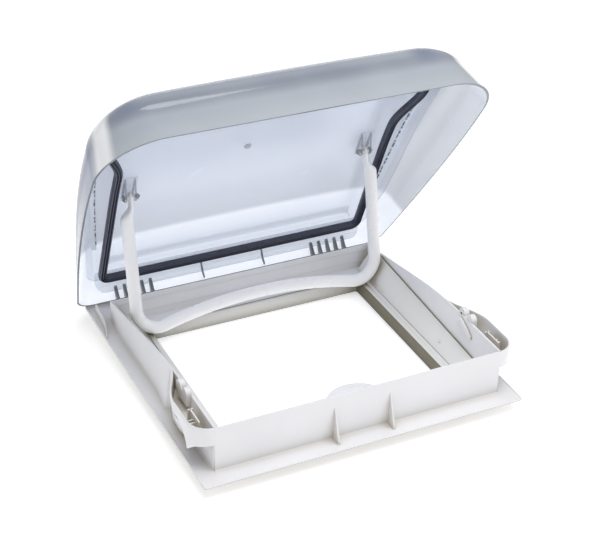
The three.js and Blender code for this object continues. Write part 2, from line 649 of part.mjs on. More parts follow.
/** Clear bracket with two triangular ears and a base, on the right. */
function bowBracket() {
  const base = (y) => rimHeight(y) + PANE_RISE - GAP;
  const [rear, front] = [BOW_PIVOT_Y + 12, BOW_PIVOT_Y - 30];
  const ear = (x) => {
    const web = prismX([[rear, base(rear)], [front, base(front)], [front + 3, base(front) - 3],
      [BOW_PIVOT_Y - 5, BOW_PIVOT_Z - 4.5], [BOW_PIVOT_Y + 5, BOW_PIVOT_Z - 4.5]],
    x - EAR_THICK / 2, x + EAR_THICK / 2);
    return join(web, barX(6.5, x - EAR_THICK / 2, x + EAR_THICK / 2, BOW_PIVOT_Y, BOW_PIVOT_Z, 18));
  };
  const [plateRear, plateFront, thick] = [rear + 4, front - 4, 2.5];
  const plate = prismX([[plateRear, base(plateRear)], [plateFront, base(plateFront)],
    [plateFront, base(plateFront) - thick], [plateRear, base(plateRear) - thick]],
  BOW_BLADE_X - 12, BOW_BLADE_X + 12);
  const hole = barX(2.6, 150, 250, BOW_PIVOT_Y, BOW_PIVOT_Z);
  return cut(join(plate, ear(BOW_BLADE_X - EAR_OFFSET), ear(BOW_BLADE_X + EAR_OFFSET)), hole);
}

/** Bolt through the ears and the flattened tube end, on the right. */
function pivotBolt() {
  const reach = EAR_OFFSET + EAR_THICK / 2 + GAP;
  const shank = barX(2.2, BOW_BLADE_X - reach - 6, BOW_BLADE_X + reach + 1, BOW_PIVOT_Y, BOW_PIVOT_Z, 12);
  const head = barX(4.5, BOW_BLADE_X + reach, BOW_BLADE_X + reach + 3, BOW_PIVOT_Y, BOW_PIVOT_Z, 6);
  return join(shank, head);
}

/** Nut on the inner end of the bolt, on the right. */
function pivotNut() {
  const face = BOW_BLADE_X - EAR_OFFSET - EAR_THICK / 2 - GAP;
  const nut = barX(4.5, face - 4, face, BOW_PIVOT_Y, BOW_PIVOT_Z, 6);
  return cut(nut, barX(2.5, face - 5, face + 1, BOW_PIVOT_Y, BOW_PIVOT_Z, 12));
}

/** Plastic bush between the bolt and the tube end, on the right. */
function pivotBush() {
  const half = EAR_OFFSET - EAR_THICK / 2 - GAP;
  const sleeve = barX(4, BOW_BLADE_X - half, BOW_BLADE_X + half, BOW_PIVOT_Y, BOW_PIVOT_Z, 16);
  return cut(sleeve, barX(2.5, 150, 250, BOW_PIVOT_Y, BOW_PIVOT_Z, 12));
}

/** Middle line of the bow, from the right arm round the cross bar to the left arm, in its own plane. */
function bowLine() {
  const cornerX = BOW_HALF_WIDTH - BOW_BEND;
  const reach = BOW_BAR_RADIUS + BOW_BEND;
  const cornerTurn = Math.asin(cornerX / reach);
  const cornerS = BOW_MIDDLE + BOW_BAR_RADIUS - reach * Math.cos(cornerTurn);
  const turn = THREE.MathUtils.radToDeg(cornerTurn);
  const armEnd = 34;
  const right = [[BOW_HALF_WIDTH, armEnd], [BOW_HALF_WIDTH, 70], [BOW_HALF_WIDTH, 120],
    ...arc(cornerX, cornerS, BOW_BEND, 0, 90 + turn, 7)];
  const bar = arc(0, BOW_MIDDLE + BOW_BAR_RADIUS, BOW_BAR_RADIUS, turn - 90, -turn - 90, 8).slice(1, -1);
  return [...right, ...bar, ...right.map(([x, s]) => [-x, s]).reverse()];
}

/** The bow: a bent tube whose ends are pressed flat and drilled. Drawn shut and level. */
function bowTube() {
  const place = ([x, s]) => new THREE.Vector3(x, BOW_PIVOT_Y - s, BOW_PIVOT_Z);
  const curve = new THREE.CatmullRomCurve3(bowLine().map(place), false, 'centripetal');
  const bar = tube(curve, BOW_RADIUS, 12, 66);
  const [thin, wide] = [BOW_BLADE_X - 2.2, BOW_BLADE_X + 2.2];
  const blade = join(
    box(thin, wide, BOW_PIVOT_Y - 34, BOW_PIVOT_Y, BOW_PIVOT_Z - 8, BOW_PIVOT_Z + 8),
    barX(8, thin, wide, BOW_PIVOT_Y, BOW_PIVOT_Z, 20));
  const neck = prismZ([[thin, BOW_PIVOT_Y - 20], [wide, BOW_PIVOT_Y - 20],
    [BOW_HALF_WIDTH + 9, BOW_PIVOT_Y - 40], [BOW_HALF_WIDTH + 9, BOW_PIVOT_Y - 44],
    [thin, BOW_PIVOT_Y - 44]], BOW_PIVOT_Z - 7, BOW_PIVOT_Z + 7);
  const hole = barX(4.3, 150, 250, BOW_PIVOT_Y, BOW_PIVOT_Z);
  const end = cut(join(blade, neck), hole);
  return join(bar, end, mirrored(end));
}

// ---- assembly -----------------------------------------------------------------------------------------

/** Adds the right-hand piece and its mirror image to a group. */
function addPair(group, name, body, material) {
  group.add(piece(`${name}_right`, body, material));
  group.add(piece(`${name}_left`, mirrored(body), material));
}

/** A group that turns about an axis along X, and holds pieces drawn in the frame's datum. */
function turnedAbout(y, z, degrees) {
  const pivot = new THREE.Group();
  pivot.position.set(0, y, z);
  pivot.rotation.x = THREE.MathUtils.degToRad(degrees);
  const inner = new THREE.Group();
  inner.position.set(0, -y, -z);
  pivot.add(inner);
  return { pivot, inner };
}

const frame = new THREE.Group();
frame.add(piece('roof_frame', roofFrame(), whitePlastic));
frame.add(piece('neck_collar', neckCollar(), greyWhitePlastic));
addPair(frame, 'bow_rail', bowRail(), greyWhitePlastic);
addPair(frame, 'catch_block', catchBlock(), whitePlastic);
addPair(frame, 'catch_lever', catchLever(), whitePlastic);
for (const side of [-1, 1]) {
  const hand = side < 0 ? 'left' : 'right';
  frame.add(piece(`hinge_rod_${hand}`, hingeRod(side), steel));
  for (const [place, y] of [['front', RAIL_SCREW_Y[0]], ['rear', RAIL_SCREW_Y[1]]]) {
    frame.add(piece(`rail_screw_${hand}_${place}`, railScrew(side, y), steel));
  }
}
frame.add(piece('latch_shelf', latchShelf(), whitePlastic));
frame.add(piece('latch_button', latchButton(), whitePlastic));
frame.add(piece('latch_spring', latchSpring(), steel));

const lid = turnedAbout(HINGE_Y, HINGE_Z, -LID_OPEN);
lid.inner.add(piece('outer_dome', outerDome(), smokyAcrylic));
lid.inner.add(piece('inner_pane', innerPane(), clearAcrylic));
lid.inner.add(piece('lid_seal', lidSeal(), blackRubber));
lid.inner.add(piece('hinge_leaf', hingeLeaf(), clearAcrylic));
lid.inner.add(piece('vent_plug', ventPlug(), clearAcrylic));
addPair(lid.inner, 'bond_strip', bondStrip(), bondTape);
addPair(lid.inner, 'bow_bracket', bowBracket(), clearAcrylic);
addPair(lid.inner, 'pivot_bolt', pivotBolt(), steel);
addPair(lid.inner, 'pivot_nut', pivotNut(), steel);

const bow = turnedAbout(BOW_PIVOT_Y, BOW_PIVOT_Z, BOW_SWING + BOW_SHUT_DIP);
bow.inner.add(piece('bow_tube', bowTube(), whiteTube));
addPair(bow.inner, 'pivot_bush', pivotBush(), whitePlastic);
lid.inner.add(bow.pivot);

const group = new THREE.Group();
group.add(frame, lid.pivot);
group.updateMatrixWorld(true);

const bounds = new THREE.Box3().setFromObject(group, true);
const centre = bounds.getCenter(new THREE.Vector3());
group.position.set(-centre.x, -centre.y, -bounds.min.z);

export default group;
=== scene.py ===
# A caravan rooflight with its lid open: a white moulded frame, a double acrylic lid on clear hinges, a dark
# rubber seal and a white tube bow that props the lid.
#
# Shapes are drawn in millimetres from the frame's own datum: X across, +Y from the front edge to the hinge,
# Z = 0 on the face that lies on the roof. The lid and the bow are drawn shut, then turned open about their
# pivots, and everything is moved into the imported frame.

import math

import bmesh
import bpy
from mathutils import Matrix, Vector


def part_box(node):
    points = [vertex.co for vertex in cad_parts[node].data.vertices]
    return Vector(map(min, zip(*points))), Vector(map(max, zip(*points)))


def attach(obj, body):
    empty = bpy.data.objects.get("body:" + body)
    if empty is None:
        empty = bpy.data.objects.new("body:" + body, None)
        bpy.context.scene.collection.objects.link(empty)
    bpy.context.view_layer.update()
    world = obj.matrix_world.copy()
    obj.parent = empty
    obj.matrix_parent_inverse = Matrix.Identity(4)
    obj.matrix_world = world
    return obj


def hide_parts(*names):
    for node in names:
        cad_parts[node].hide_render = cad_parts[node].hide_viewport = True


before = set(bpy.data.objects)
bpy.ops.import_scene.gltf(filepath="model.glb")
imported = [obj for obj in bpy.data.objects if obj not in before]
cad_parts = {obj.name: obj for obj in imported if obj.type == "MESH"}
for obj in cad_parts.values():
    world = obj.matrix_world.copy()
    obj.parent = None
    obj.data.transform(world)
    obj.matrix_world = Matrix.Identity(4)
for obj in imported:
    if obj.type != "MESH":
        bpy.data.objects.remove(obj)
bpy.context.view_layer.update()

# ---- sizes, in millimetres ----

MM = 0.001
FRAME_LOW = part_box("roof_frame")[0]
DATUM = Vector((0, FRAME_LOW.y, FRAME_LOW.z))

FLANGE_HALF_WIDTH = 260
FLANGE_DEPTH = 498
FLANGE_THICK = 3
FLANGE_LIP = 1.2
FOOT_SHADE_HEIGHT = 1
GAP = 0.3

NECK_HALF_WIDTH = 187
NECK_FRONT = 37
NECK_REAR = 397
NECK_DROP = 20
NECK_WALL = 2.2

WALL = 3
FRONT_WALL_Y = 31
SIDE_WALL_IN = 229.5
REAR_WALL_Y = 448

RIM_TOP = 77
RIM_BEND_Y = 206
RIM_BEND_LENGTH = 60
RIM_SLOPE = 0.172
POD_HALF_WIDTH = 260.5
POD_FRONT_Y = 110
POD_REAR_Y = 199
POD_CORNER = 30
POD_INNER_X = 205

LID_OPEN = 58.5
HINGE_Y = 480
HINGE_Z = 9

SEAL_BASE = 0.4
SEAL_HEIGHT = 10
SEAL_HALF = 6.5
PANE_FLANGE = 10.7
PANE_THICK = 3
PANE_RISE = 22.5
PANE_CORNER = 55
PANE_DROP = 7.5
PANE_BEND_IN = 38
PANE_LIP_IN = 26

DOME_RISE = 34.5
DOME_SAG = 4
DOME_SAG_X = 250
DOME_CROWN = 4
DOME_THICK = 3
DOME_FRONT_Y = -23.6
DOME_REAR_Y = 486
DOME_HALF_WIDTH = 315
DOME_REAR_TAPER = 36
DOME_TAPER_Y = 100

BOW_RADIUS = 10
BOW_HALF_WIDTH = 211.5
BOW_MIDDLE = 199
BOW_BAR_RADIUS = 710
BOW_BEND = 36
BOW_PIVOT_Y = 263.5
BOW_PIVOT_Z = 78.4
BOW_BLADE_X = 202.5
BLADE_HALF_THICK = 2.2
BLADE_HALF_WIDTH = 8
BOW_SHUT_DIP = 4.2
BOW_SWING = 132.1

SHELF_RADIUS = 53.5
SHELF_TOP = 47.5
SHELF_THICK = 14
BUTTON_RADIUS = 11

FINGER_PITCH = 15
FINGER_COUNT = 5
FINGER_FIRST_X = 147
KNUCKLE_RADIUS = 4.6

# Places along Y, each with the outer face of the side wall's foot, and with the lower edge of the pod.
SIDE_FOOT = ((31, 233), (100, 236), (125, 244), (153, 244), (193, 242), (240, 237), (416, 237), (450, 232))
POD_BOTTOM_Z = ((31, 48), (45, 44), (62, 29), (83, 24.5), (125, 3), (200, 3))
POD_FLOOR_Z = 50
WALL_END_X = 231.5
GUSSET_X = 45.2
GUSSET_TOP = 59
REAR_RIDGE_X = 228

DOME_CORNER = 92
DOME_REAR_CORNER = 28
DOME_MIDDLE_Y = 220
REAR_GLOW_FROM = -104
REAR_GLOW_FULL = -90

RAIL_IN = 203
RAIL_FRONT = 52
RAIL_REAR = 426
RAIL_SCREWS = (84, 170)
RAIL_SCREW_X = 217

CATCH_FRONT_Y = 112
CATCH_REAR_Y = 152
CATCH_SEAT_Z = 60
CATCH_LOBE_Z = 78
CATCH_LOBE = 8.6
CATCH_PIVOT_Y = 141
CATCH_PIVOT_Z = 68

BUTTON_Y = 62
PLUG_X = -14

EAR_THICK = 3
EAR_OFFSET = 8
HEX_RADIUS = 4.5
HEX_CHAMFER = 3.8
BOLT_BORE = 2.5

PANE_REAR_Y = 458
LEAF_HALF_WIDTH = 240
LEAF_RIB_X = 55
LEAF_END_Y = 475
LEAF_END_Z = 27.5
LEAF_CORNER = 18
LEAF_THICK = 2.6

TAPE_FRONT = 150
TAPE_REAR = 380

# The camera, fitted to the photo: its place from the datum, its lens and the two directions that turn it.
CAMERA_PLACE = (-885.1, -1478.6, 1350.6)
CAMERA_LENS = 90.53
CAMERA_RIGHT = (0.8981, -0.4385, 0.0326)
CAMERA_FORWARD = (0.3886, 0.7568, -0.5256)

# ---- placing ----


def turn_about(y, z, degrees):
    """A turn about an axis along X through (y, z), in millimetres from the datum."""
    there = Matrix.Translation((0, y, z))
    return there @ Matrix.Rotation(math.radians(degrees), 4, "X") @ there.inverted()


LID_TURN = turn_about(HINGE_Y, HINGE_Z, -LID_OPEN)
BOW_TURN = LID_TURN @ turn_about(BOW_PIVOT_Y, BOW_PIVOT_Z, BOW_SWING + BOW_SHUT_DIP)
TO_ROW = Matrix.Translation(DATUM) @ Matrix.Scale(MM, 4)
PLACES = {
    "frame": TO_ROW,
    "right_catch": TO_ROW,
    "left_catch": TO_ROW,
    "button": TO_ROW,
    "lid": TO_ROW @ LID_TURN,
    "bow": TO_ROW @ BOW_TURN,
}

# ---- mesh helpers ----


class Shape:
    """Collects points, faces and their material numbers for one piece."""

    def __init__(self):
        self.points = []
        self.faces = []
        self.materials = []

    def rings(self, rings, closed=False, materials=None, strips=False):
        """Joins rings of equal length. A closed one comes back to its first ring.

        Its ends are closed by single faces, or by strips across from the left half to the right half.
        """
        first = len(self.points)
        count = len(rings[0])
        last = first + (len(rings) - 1) * count
        self.points += [tuple(p) for ring in rings for p in ring]
        for band in range(len(rings) if closed else len(rings) - 1):
            here = first + band * count
            there = first + (band + 1) % len(rings) * count
            for i in range(count):
                j = (i + 1) % count
                self.faces.append([here + i, here + j, there + j, there + i])
            self.materials += [materials[band] if materials else 0] * count
        if closed:
            return self
        if strips:
            pairs = [(i, count - 1 - i) for i in range(count // 2 - 1)]
            ends = [([first + i + 1, first + i, first + j, first + j - 1],
                     [last + i, last + i + 1, last + j - 1, last + j]) for i, j in pairs]
        else:
            ends = [([first + i for i in reversed(range(count))], [last + i for i in range(count)])]
        for start, end in ends:
            self.faces += [start, end]
            self.materials += [materials[0], materials[-1]] if materials else [0, 0]
        return self

    def mirror(self):
        """The same shape on the other side of the middle plane."""
        other = Shape()
        other.points = [(-x, y, z) for x, y, z in self.points]
        other.faces = [list(reversed(face)) for face in self.faces]
        other.materials = list(self.materials)
        return other

    def join(self, *others):
        for other in others:
            start = len(self.points)
            self.points += other.points
            self.faces += [[start + i for i in face] for face in other.faces]
            self.materials += other.materials
        return self

    def both_sides(self):
        return self.join(self.mirror())

    def paint(self, material):
        """Gives every face the same material number."""
        self.materials = [material] * len(self.faces)
        return self


def build(name, shape, materials, body, nodes, slot, bevel=0, segments=2, smooth=30):
    """Makes an object from a shape, and lets it ride on a body in place of CAD nodes."""
    mesh = bpy.data.meshes.new(name)
    mesh.from_pydata(shape.points, [], shape.faces)
    for material in materials:
        mesh.materials.append(material)
    mesh.polygons.foreach_set("material_index", shape.materials)
    tidy = bmesh.new()
    tidy.from_mesh(mesh)
    bmesh.ops.remove_doubles(tidy, verts=tidy.verts, dist=0.001)
    bmesh.ops.recalc_face_normals(tidy, faces=tidy.faces)
    tidy.to_mesh(mesh)
    tidy.free()
    mesh.transform(PLACES[body])
    mesh.shade_smooth()
    mesh.set_sharp_from_angle(angle=math.radians(smooth))
    piece = bpy.data.objects.new(name, mesh)
    bpy.context.scene.collection.objects.link(piece)
    if bevel:
        edge = piece.modifiers.new("soft edges", "BEVEL")
        edge.width = bevel * MM
        edge.segments = segments
        edge.limit_method = "ANGLE"
        edge.angle_limit = math.radians(35)
        edge.harden_normals = True
    if nodes:
        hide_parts(*nodes)
    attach(piece, body)
    return piece


def pair(name, shape, materials, body, node, slot, **more):
    """A piece on the right and its mirror image on the left."""
    build(f"{name}_right", shape, materials, body, [f"{node}_right"], slot, **more)
    build(f"{name}_left", shape.mirror(), materials, body, [f"{node}_left"], slot, **more)


def arc(cx, cy, radius, start, end, steps):
    """Points of an arc, between two angles in degrees."""
    angles = [math.radians(start + (end - start) * i / steps) for i in range(steps + 1)]
    return [(cx + radius * math.cos(a), cy + radius * math.sin(a)) for a in angles]


def circle(radius, sides=24):
    """Points of a circle about (0, 0)."""
    return arc(0, 0, radius, 0, 360 - 360 / sides, sides - 1)


def spread(start, end, steps):
    """Evenly spread values, with both ends."""
    return [start + (end - start) * i / steps for i in range(steps + 1)]


def clamp(value):
    """The value, kept between 0 and 1."""
    return min(max(value, 0), 1)


def blend(low, high, value):
    """0 before low, 1 after high, and a smooth rise between."""
    share = clamp((value - low) / (high - low))
    return share * share * (3 - 2 * share)


def through(table, value):
    """Straight lines between (place, value) pairs."""
    for (a, va), (b, vb) in zip(table, table[1:]):
        if value <= b:
            return va + (vb - va) * max(value - a, 0) / (b - a)
    return table[-1][1]


def prism(points, low, high, axis):
    """An outline carried along an axis. Its points are the two other coordinates, in X, Y, Z order."""
    order = {"X": lambda u, v, d: (d, u, v), "Y": lambda u, v, d: (u, d, v), "Z": lambda u, v, d: (u, v, d)}
    put = order[axis]
    return Shape().rings([[put(u, v, d) for u, v in points] for d in (low, high)])


def across(y, points):
    """A ring at one place along Y, from its (X, Z) points."""
    return [(x, y, z) for x, z in points]


def block(x0, x1, y0, y1, z0, z1):
    return prism([(x0, y0), (x1, y0), (x1, y1), (x0, y1)], z0, z1, "Z")


def turned(profile, place, sides=24):
    """A profile of (radius, distance) points turned about an axis. The place function sets the axis."""
    rings = []
    for radius, distance in profile:
        rings.append([place(u, v, distance) for u, v in circle(max(radius, 0.01), sides)])
    return Shape().rings(rings)


def along_x(y, z):
    return lambda u, v, d: (d, y + u, z + v)


def along_z(x, y):
    return lambda u, v, d: (x + u, y + v, d)


def rounded_box(x, y0, y1, corner, z, steps=5):
    """A rectangle with round corners seen from above, at one height."""
    points = []
    for cx, cy, start in (
            (x - corner, y0 + corner, -90), (x - corner, y1 - corner, 0),
            (corner - x, y1 - corner, 90), (corner - x, y0 + corner, 180)):
        points += arc(cx, cy, corner, start, start + 90, steps)
    return [(px, py, z) for px, py in points]


# ---- the rim, which frame, seal and pane follow ----


def rim_height(y):
    """Height of the frame's rim: level in front, then falling to the hinge, with a soft bend between."""
    past = y - (RIM_BEND_Y - RIM_BEND_LENGTH)
    if past <= 0:
        return RIM_TOP
    if past >= 2 * RIM_BEND_LENGTH:
        return RIM_TOP - RIM_SLOPE * (y - RIM_BEND_Y)
    return RIM_TOP - RIM_SLOPE * past * past / (4 * RIM_BEND_LENGTH)


def whole_loop(half):
    """Adds the left half to the right half of a loop that runs from the front round to the rear."""
    return half + [(-x, y) for x, y in reversed(half)]


def pod_half_width(y):
    """Distance of the rim's middle line from the middle plane, behind the front wall."""
    side_x = SIDE_WALL_IN + 2
    corner_y = FRONT_WALL_Y + 1.5 + POD_CORNER
    if y < corner_y:
        return POD_HALF_WIDTH - POD_CORNER + math.sqrt(max(POD_CORNER ** 2 - (corner_y - y) ** 2, 0))
    run = clamp((y - POD_FRONT_Y) / (POD_REAR_Y - POD_FRONT_Y))
    return side_x + (POD_HALF_WIDTH - side_x) * (1 + math.cos(math.pi * run)) / 2


def rim_half_loop(rear_corner=12):
    """The right half of the rim's middle line, from the front middle to the rear middle."""
    side_x = SIDE_WALL_IN + 2
    rear_y = REAR_WALL_Y + 1.5
    front_y = FRONT_WALL_Y + 1.5
    front = [(x, front_y) for x in spread(0, POD_HALF_WIDTH - POD_CORNER, 12)]
    corner = arc(POD_HALF_WIDTH - POD_CORNER, front_y + POD_CORNER, POD_CORNER, -90, 0, 12)
    flare = [(pod_half_width(y), y) for y in spread(POD_FRONT_Y, POD_REAR_Y, 20)]
    side = [(side_x, y) for y in spread(POD_REAR_Y + 6, rear_y - rear_corner - 6, 30)]
    rear = arc(side_x - rear_corner, rear_y - rear_corner, rear_corner, 0, 90, 6)
    back = [(x, rear_y) for x in spread(side_x - rear_corner - 8, 8, 12)]
    return front[1:] + corner[1:] + flare + side + rear + back


def offset_loop(loop, distance):
    """Moves every point of a loop outwards."""
    moved = []
    for i, (x, y) in enumerate(loop):
        before = loop[i - 1]
        after = loop[(i + 1) % len(loop)]
        along = Vector((after[0] - before[0], after[1] - before[1])).normalized()
        moved.append((x + along.y * distance, y - along.x * distance))
    return moved


RIM_LOOP = whole_loop(rim_half_loop())


def rim_ring(offset, rise):
    """A ring that follows the rim in plan at an offset, and in height at a rise above it."""
    return [(x, y, rim_height(y) + rise) for x, y in offset_loop(RIM_LOOP, offset)]


# ---- node material helpers ----


class Look:
    """A node material, with short calls for the nodes that the looks are made of."""

    def __init__(self, name):
        self.material = bpy.data.materials.new(name)
        self.material.use_nodes = True
        self.tree = self.material.node_tree
        self.surface = self.tree.nodes["Principled BSDF"]
        self.place = self.tree.nodes.new("ShaderNodeTexCoord").outputs["Object"]

    def node(self, kind, inputs=None, **settings):
        made = self.tree.nodes.new(kind)
        for key, value in settings.items():
            setattr(made, key, value)
        for key, value in (inputs or {}).items():
            self.put(made.inputs[key], value)
        return made

    def put(self, socket, value):
        """Links a socket, or sets it when the value is a plain number, place or colour."""
        if isinstance(value, bpy.types.NodeSocket):
            self.tree.links.new(value, socket)
        elif isinstance(value, tuple) and len(value) == 3 and socket.type == "RGBA":
            socket.default_value = (*value, 1)
        else:
            socket.default_value = value

    def set(self, **inputs):
        for key, value in inputs.items():
            self.put(self.surface.inputs[key.replace("_", " ")], value)
        return self

    def noise(self, scale, detail=3, rough=0.5):
        inputs = {"Vector": self.place, "Scale": scale, "Detail": detail, "Roughness": rough}
        return self.node("ShaderNodeTexNoise", inputs).outputs["Fac"]

    def range(self, value, low, high, to_low=0.0, to_high=1.0, smooth=False):
        kind = "SMOOTHSTEP" if smooth else "LINEAR"
        made = self.node(
            "ShaderNodeMapRange",
            {"Value": value, "From Min": low, "From Max": high, "To Min": to_low, "To Max": to_high},
            interpolation_type=kind)
        return made.outputs["Result"]

    def math(self, kind, a, b):
        return self.node("ShaderNodeMath", {0: a, 1: b}, operation=kind).outputs[0]

    def product(self, first, *others):
        for other in others:
            first = self.math("MULTIPLY", first, other)
        return first

    def mix(self, share, first, second):
        made = self.node("ShaderNodeMix", data_type="RGBA")
        self.put(made.inputs[0], share)
        self.put(made.inputs[6], first)
        self.put(made.inputs[7], second)
        return made.outputs[2]

    def axis(self, name):
        parts = self.node("ShaderNodeSeparateXYZ", {0: self.place})
        return parts.outputs[name]

    def lid_place(self):
        """Distance from the hinge and height above it of a point on the lid, in millimetres, as if shut."""
        turn = (TO_ROW @ LID_TURN).inverted().to_3x3()
        hinge = TO_ROW @ Vector((0, HINGE_Y, HINGE_Z))
        found = []
        for row in (turn.row[1], turn.row[2]):
            dot = self.node("ShaderNodeVectorMath", {0: self.place, 1: tuple(row)}, operation="DOT_PRODUCT")
            found.append(self.math("SUBTRACT", dot.outputs["Value"], row.dot(hinge)))
        return found

    def steps(self, value, stops):
        """A colour that runs through (value, colour) stops."""
        colour = stops[0][1]
        for (low, _), (high, following) in zip(stops, stops[1:]):
            colour = self.mix(self.range(value, low, high, smooth=True), colour, following)
        return colour

    def hollow(self, distance):
        """1 in the open, falling to 0 deep in a corner. It is the mask for painted shade."""
        made = self.node("ShaderNodeAmbientOcclusion", {"Distance": distance}, samples=6)
        return made.outputs["AO"]

    def bump(self, height, strength, distance):
        made = self.node("ShaderNodeBump", {"Height": height, "Strength": strength, "Distance": distance})
        self.put(self.surface.inputs["Normal"], made.outputs["Normal"])
        return self


def moulded_plastic(name, colour, shade, rough, corner_shade_reach=0.03, foot=None):
    """Moulded plastic: a soft mottle, a fine grain, slow sink waves and painted shade, a warmer darker tone,
    deep in corners.

    The foot colour, if there is one, is painted shade: a darker line along the edge that lies on the roof.
    """
    look = Look(name)
    mottle = look.range(look.noise(14, 4), 0.35, 0.7)
    body = look.mix(mottle, colour, tuple(c * 0.965 for c in colour))
    # Painted shade: a darker line along the lowest millimetre, where the part meets the floor.
    if foot:
        low = DATUM.z + FOOT_SHADE_HEIGHT * MM
        body = look.mix(look.range(look.axis("Z"), low, low + FOOT_SHADE_HEIGHT * MM), foot, body)
    # Painted shade: the shade colour fills corners, masked by ambient occlusion.
    deep = look.range(look.hollow(corner_shade_reach), 0.25, 0.95, 1.0, 0.0, smooth=True)
    look.set(Base_Color=look.mix(deep, body, shade))
    look.set(Roughness=look.range(look.noise(60, 5, 0.6), 0.3, 0.7, rough - 0.06, rough + 0.08))
    grain = look.noise(1400, 2)
    waves = look.noise(9, 1)
    height = look.math("ADD", look.product(grain, 0.04), waves)
    look.bump(height, 0.12, 0.002)
    look.set(Specular_IOR_Level=0.45)
    return look.material


def rubber(name, colour, ridge):
    """Dark rubber with dust; its open, raised lips take a lighter colour as a painted highlight, and its
    recesses stay darker as painted shade.
    """
    look = Look(name)
    dust = look.range(look.noise(260, 4, 0.6), 0.5, 0.9)
    body = look.mix(dust, colour, tuple(c * 1.5 for c in colour))
    # Painted highlight and shade: open places take the ridge colour, recesses keep the dark body.
    painted_light_share = look.range(look.hollow(0.004), 0.5, 1.0)
    look.set(Base_Color=look.mix(painted_light_share, body, look.mix(dust, ridge, colour)))
    look.set(Roughness=look.range(look.noise(150, 4), 0.3, 0.7, 0.42, 0.62))
    look.bump(look.noise(900, 3), 0.15, 0.0006)
    return look.material


def metal(name, colour, rough):
    """Plated steel with fine turning marks and dull patches."""
    look = Look(name)
    stain = look.range(look.noise(220, 5, 0.6), 0.4, 0.75)
    look.set(Base_Color=look.mix(stain, colour, tuple(c * 0.72 for c in colour)))
    look.set(Metallic=1.0)
    look.set(Roughness=look.range(look.noise(500, 4), 0.3, 0.7, rough - 0.08, rough + 0.12))
    look.bump(look.noise(2500, 2), 0.2, 0.0002)
    return look.material


def see_through(look, share):
    """Lets a share of the light straight through the material."""
    clear = look.node("ShaderNodeBsdfTransparent", {"Color": (0.97, 0.98, 1.0)})
    mixed = look.node("ShaderNodeMixShader")
    look.put(mixed.inputs[0], share)
    look.put(mixed.inputs[1], look.surface.outputs[0])
    look.put(mixed.inputs[2], clear.outputs[0])
    out = look.tree.nodes["Material Output"]
    look.put(out.inputs["Surface"], mixed.outputs[0])
    return look


def acrylic(name, top, bottom, low, high, rough, clear, streaks=0.05, glow=0.0, waves=0.05):
    """Glossy sheet whose tint changes with height as painted light and reflection, with faint flow lines,
    fine scratches and dust; its glow is painted light.
    """
    look = Look(name)
    # Painted light: the tint runs from the bottom colour to the top colour with height.
    rise = look.range(look.axis("Z"), low, high, smooth=True)
    tint = look.mix(rise, bottom, top)
    clouds = look.range(look.noise(3.5, 3), 0.3, 0.7)
    tint = look.mix(look.product(clouds, streaks), tint, tuple(c * 0.6 for c in top))
    look.set(Base_Color=tint, Emission_Color=tint, Emission_Strength=glow)
    look.set(Roughness=look.range(look.noise(30, 5, 0.6), 0.3, 0.75, rough, rough + 0.09))
    look.set(Specular_IOR_Level=0.5, Coat_Weight=0.4, Coat_Roughness=0.06)
    scratches = look.product(look.noise(700, 2), 0.002)
    look.bump(look.math("ADD", look.noise(2.5, 1), scratches), waves, 0.003)
    see_through(look, clear)
    return look.material


def painted_corner_reflections(look, along, height, tint):
    """Painted highlight and painted dark reflection bands where the dome turns round its front corners, and
    painted shade down its lower sides.
    """
    centre_x = (DOME_HALF_WIDTH - DOME_CORNER) * MM
    out = look.math("SUBTRACT", look.math("ABSOLUTE", look.axis("X"), 0), centre_x)
    ahead = look.math("SUBTRACT", DOME_FRONT_Y + DOME_CORNER - HINGE_Y, along)
    angle = look.math("ARCTAN2", look.math("MULTIPLY", out, 1 / MM), ahead)

    def band(left, right, width, soft):
        """A band of angles from its start on the left corner, or from its start on the right one."""
        start = look.range(look.axis("X"), -0.01, 0.01, left, right)
        past = look.math("SUBTRACT", angle, start)
        rise = look.range(past, -soft, soft, smooth=True)
        fall = look.range(past, width - soft, width + soft, 1.0, 0.0, smooth=True)
        return look.product(rise, fall)
    upper = look.range(height, 38, 74, smooth=True)
    # Painted dark reflection high on each front corner.
    tint = look.mix(look.product(band(0.25, -0.35, 0.5, 0.22), upper, 0.9), tint, linear(118, 128, 150))
    lower = look.range(height, 64, 92, 1.0, 0.0, smooth=True)
    # Painted highlight band lower on each front corner.
    tint = look.mix(look.product(band(0.9, 0.6, 0.4, 0.1), lower, 0.9), tint, linear(248, 249, 252))
    # Painted shade down the dome's lower sides.
    side = look.product(look.range(angle, 1.3, 1.55, smooth=True), lower)
    return look.mix(look.product(side, 0.85), tint, linear(132, 140, 164)), side


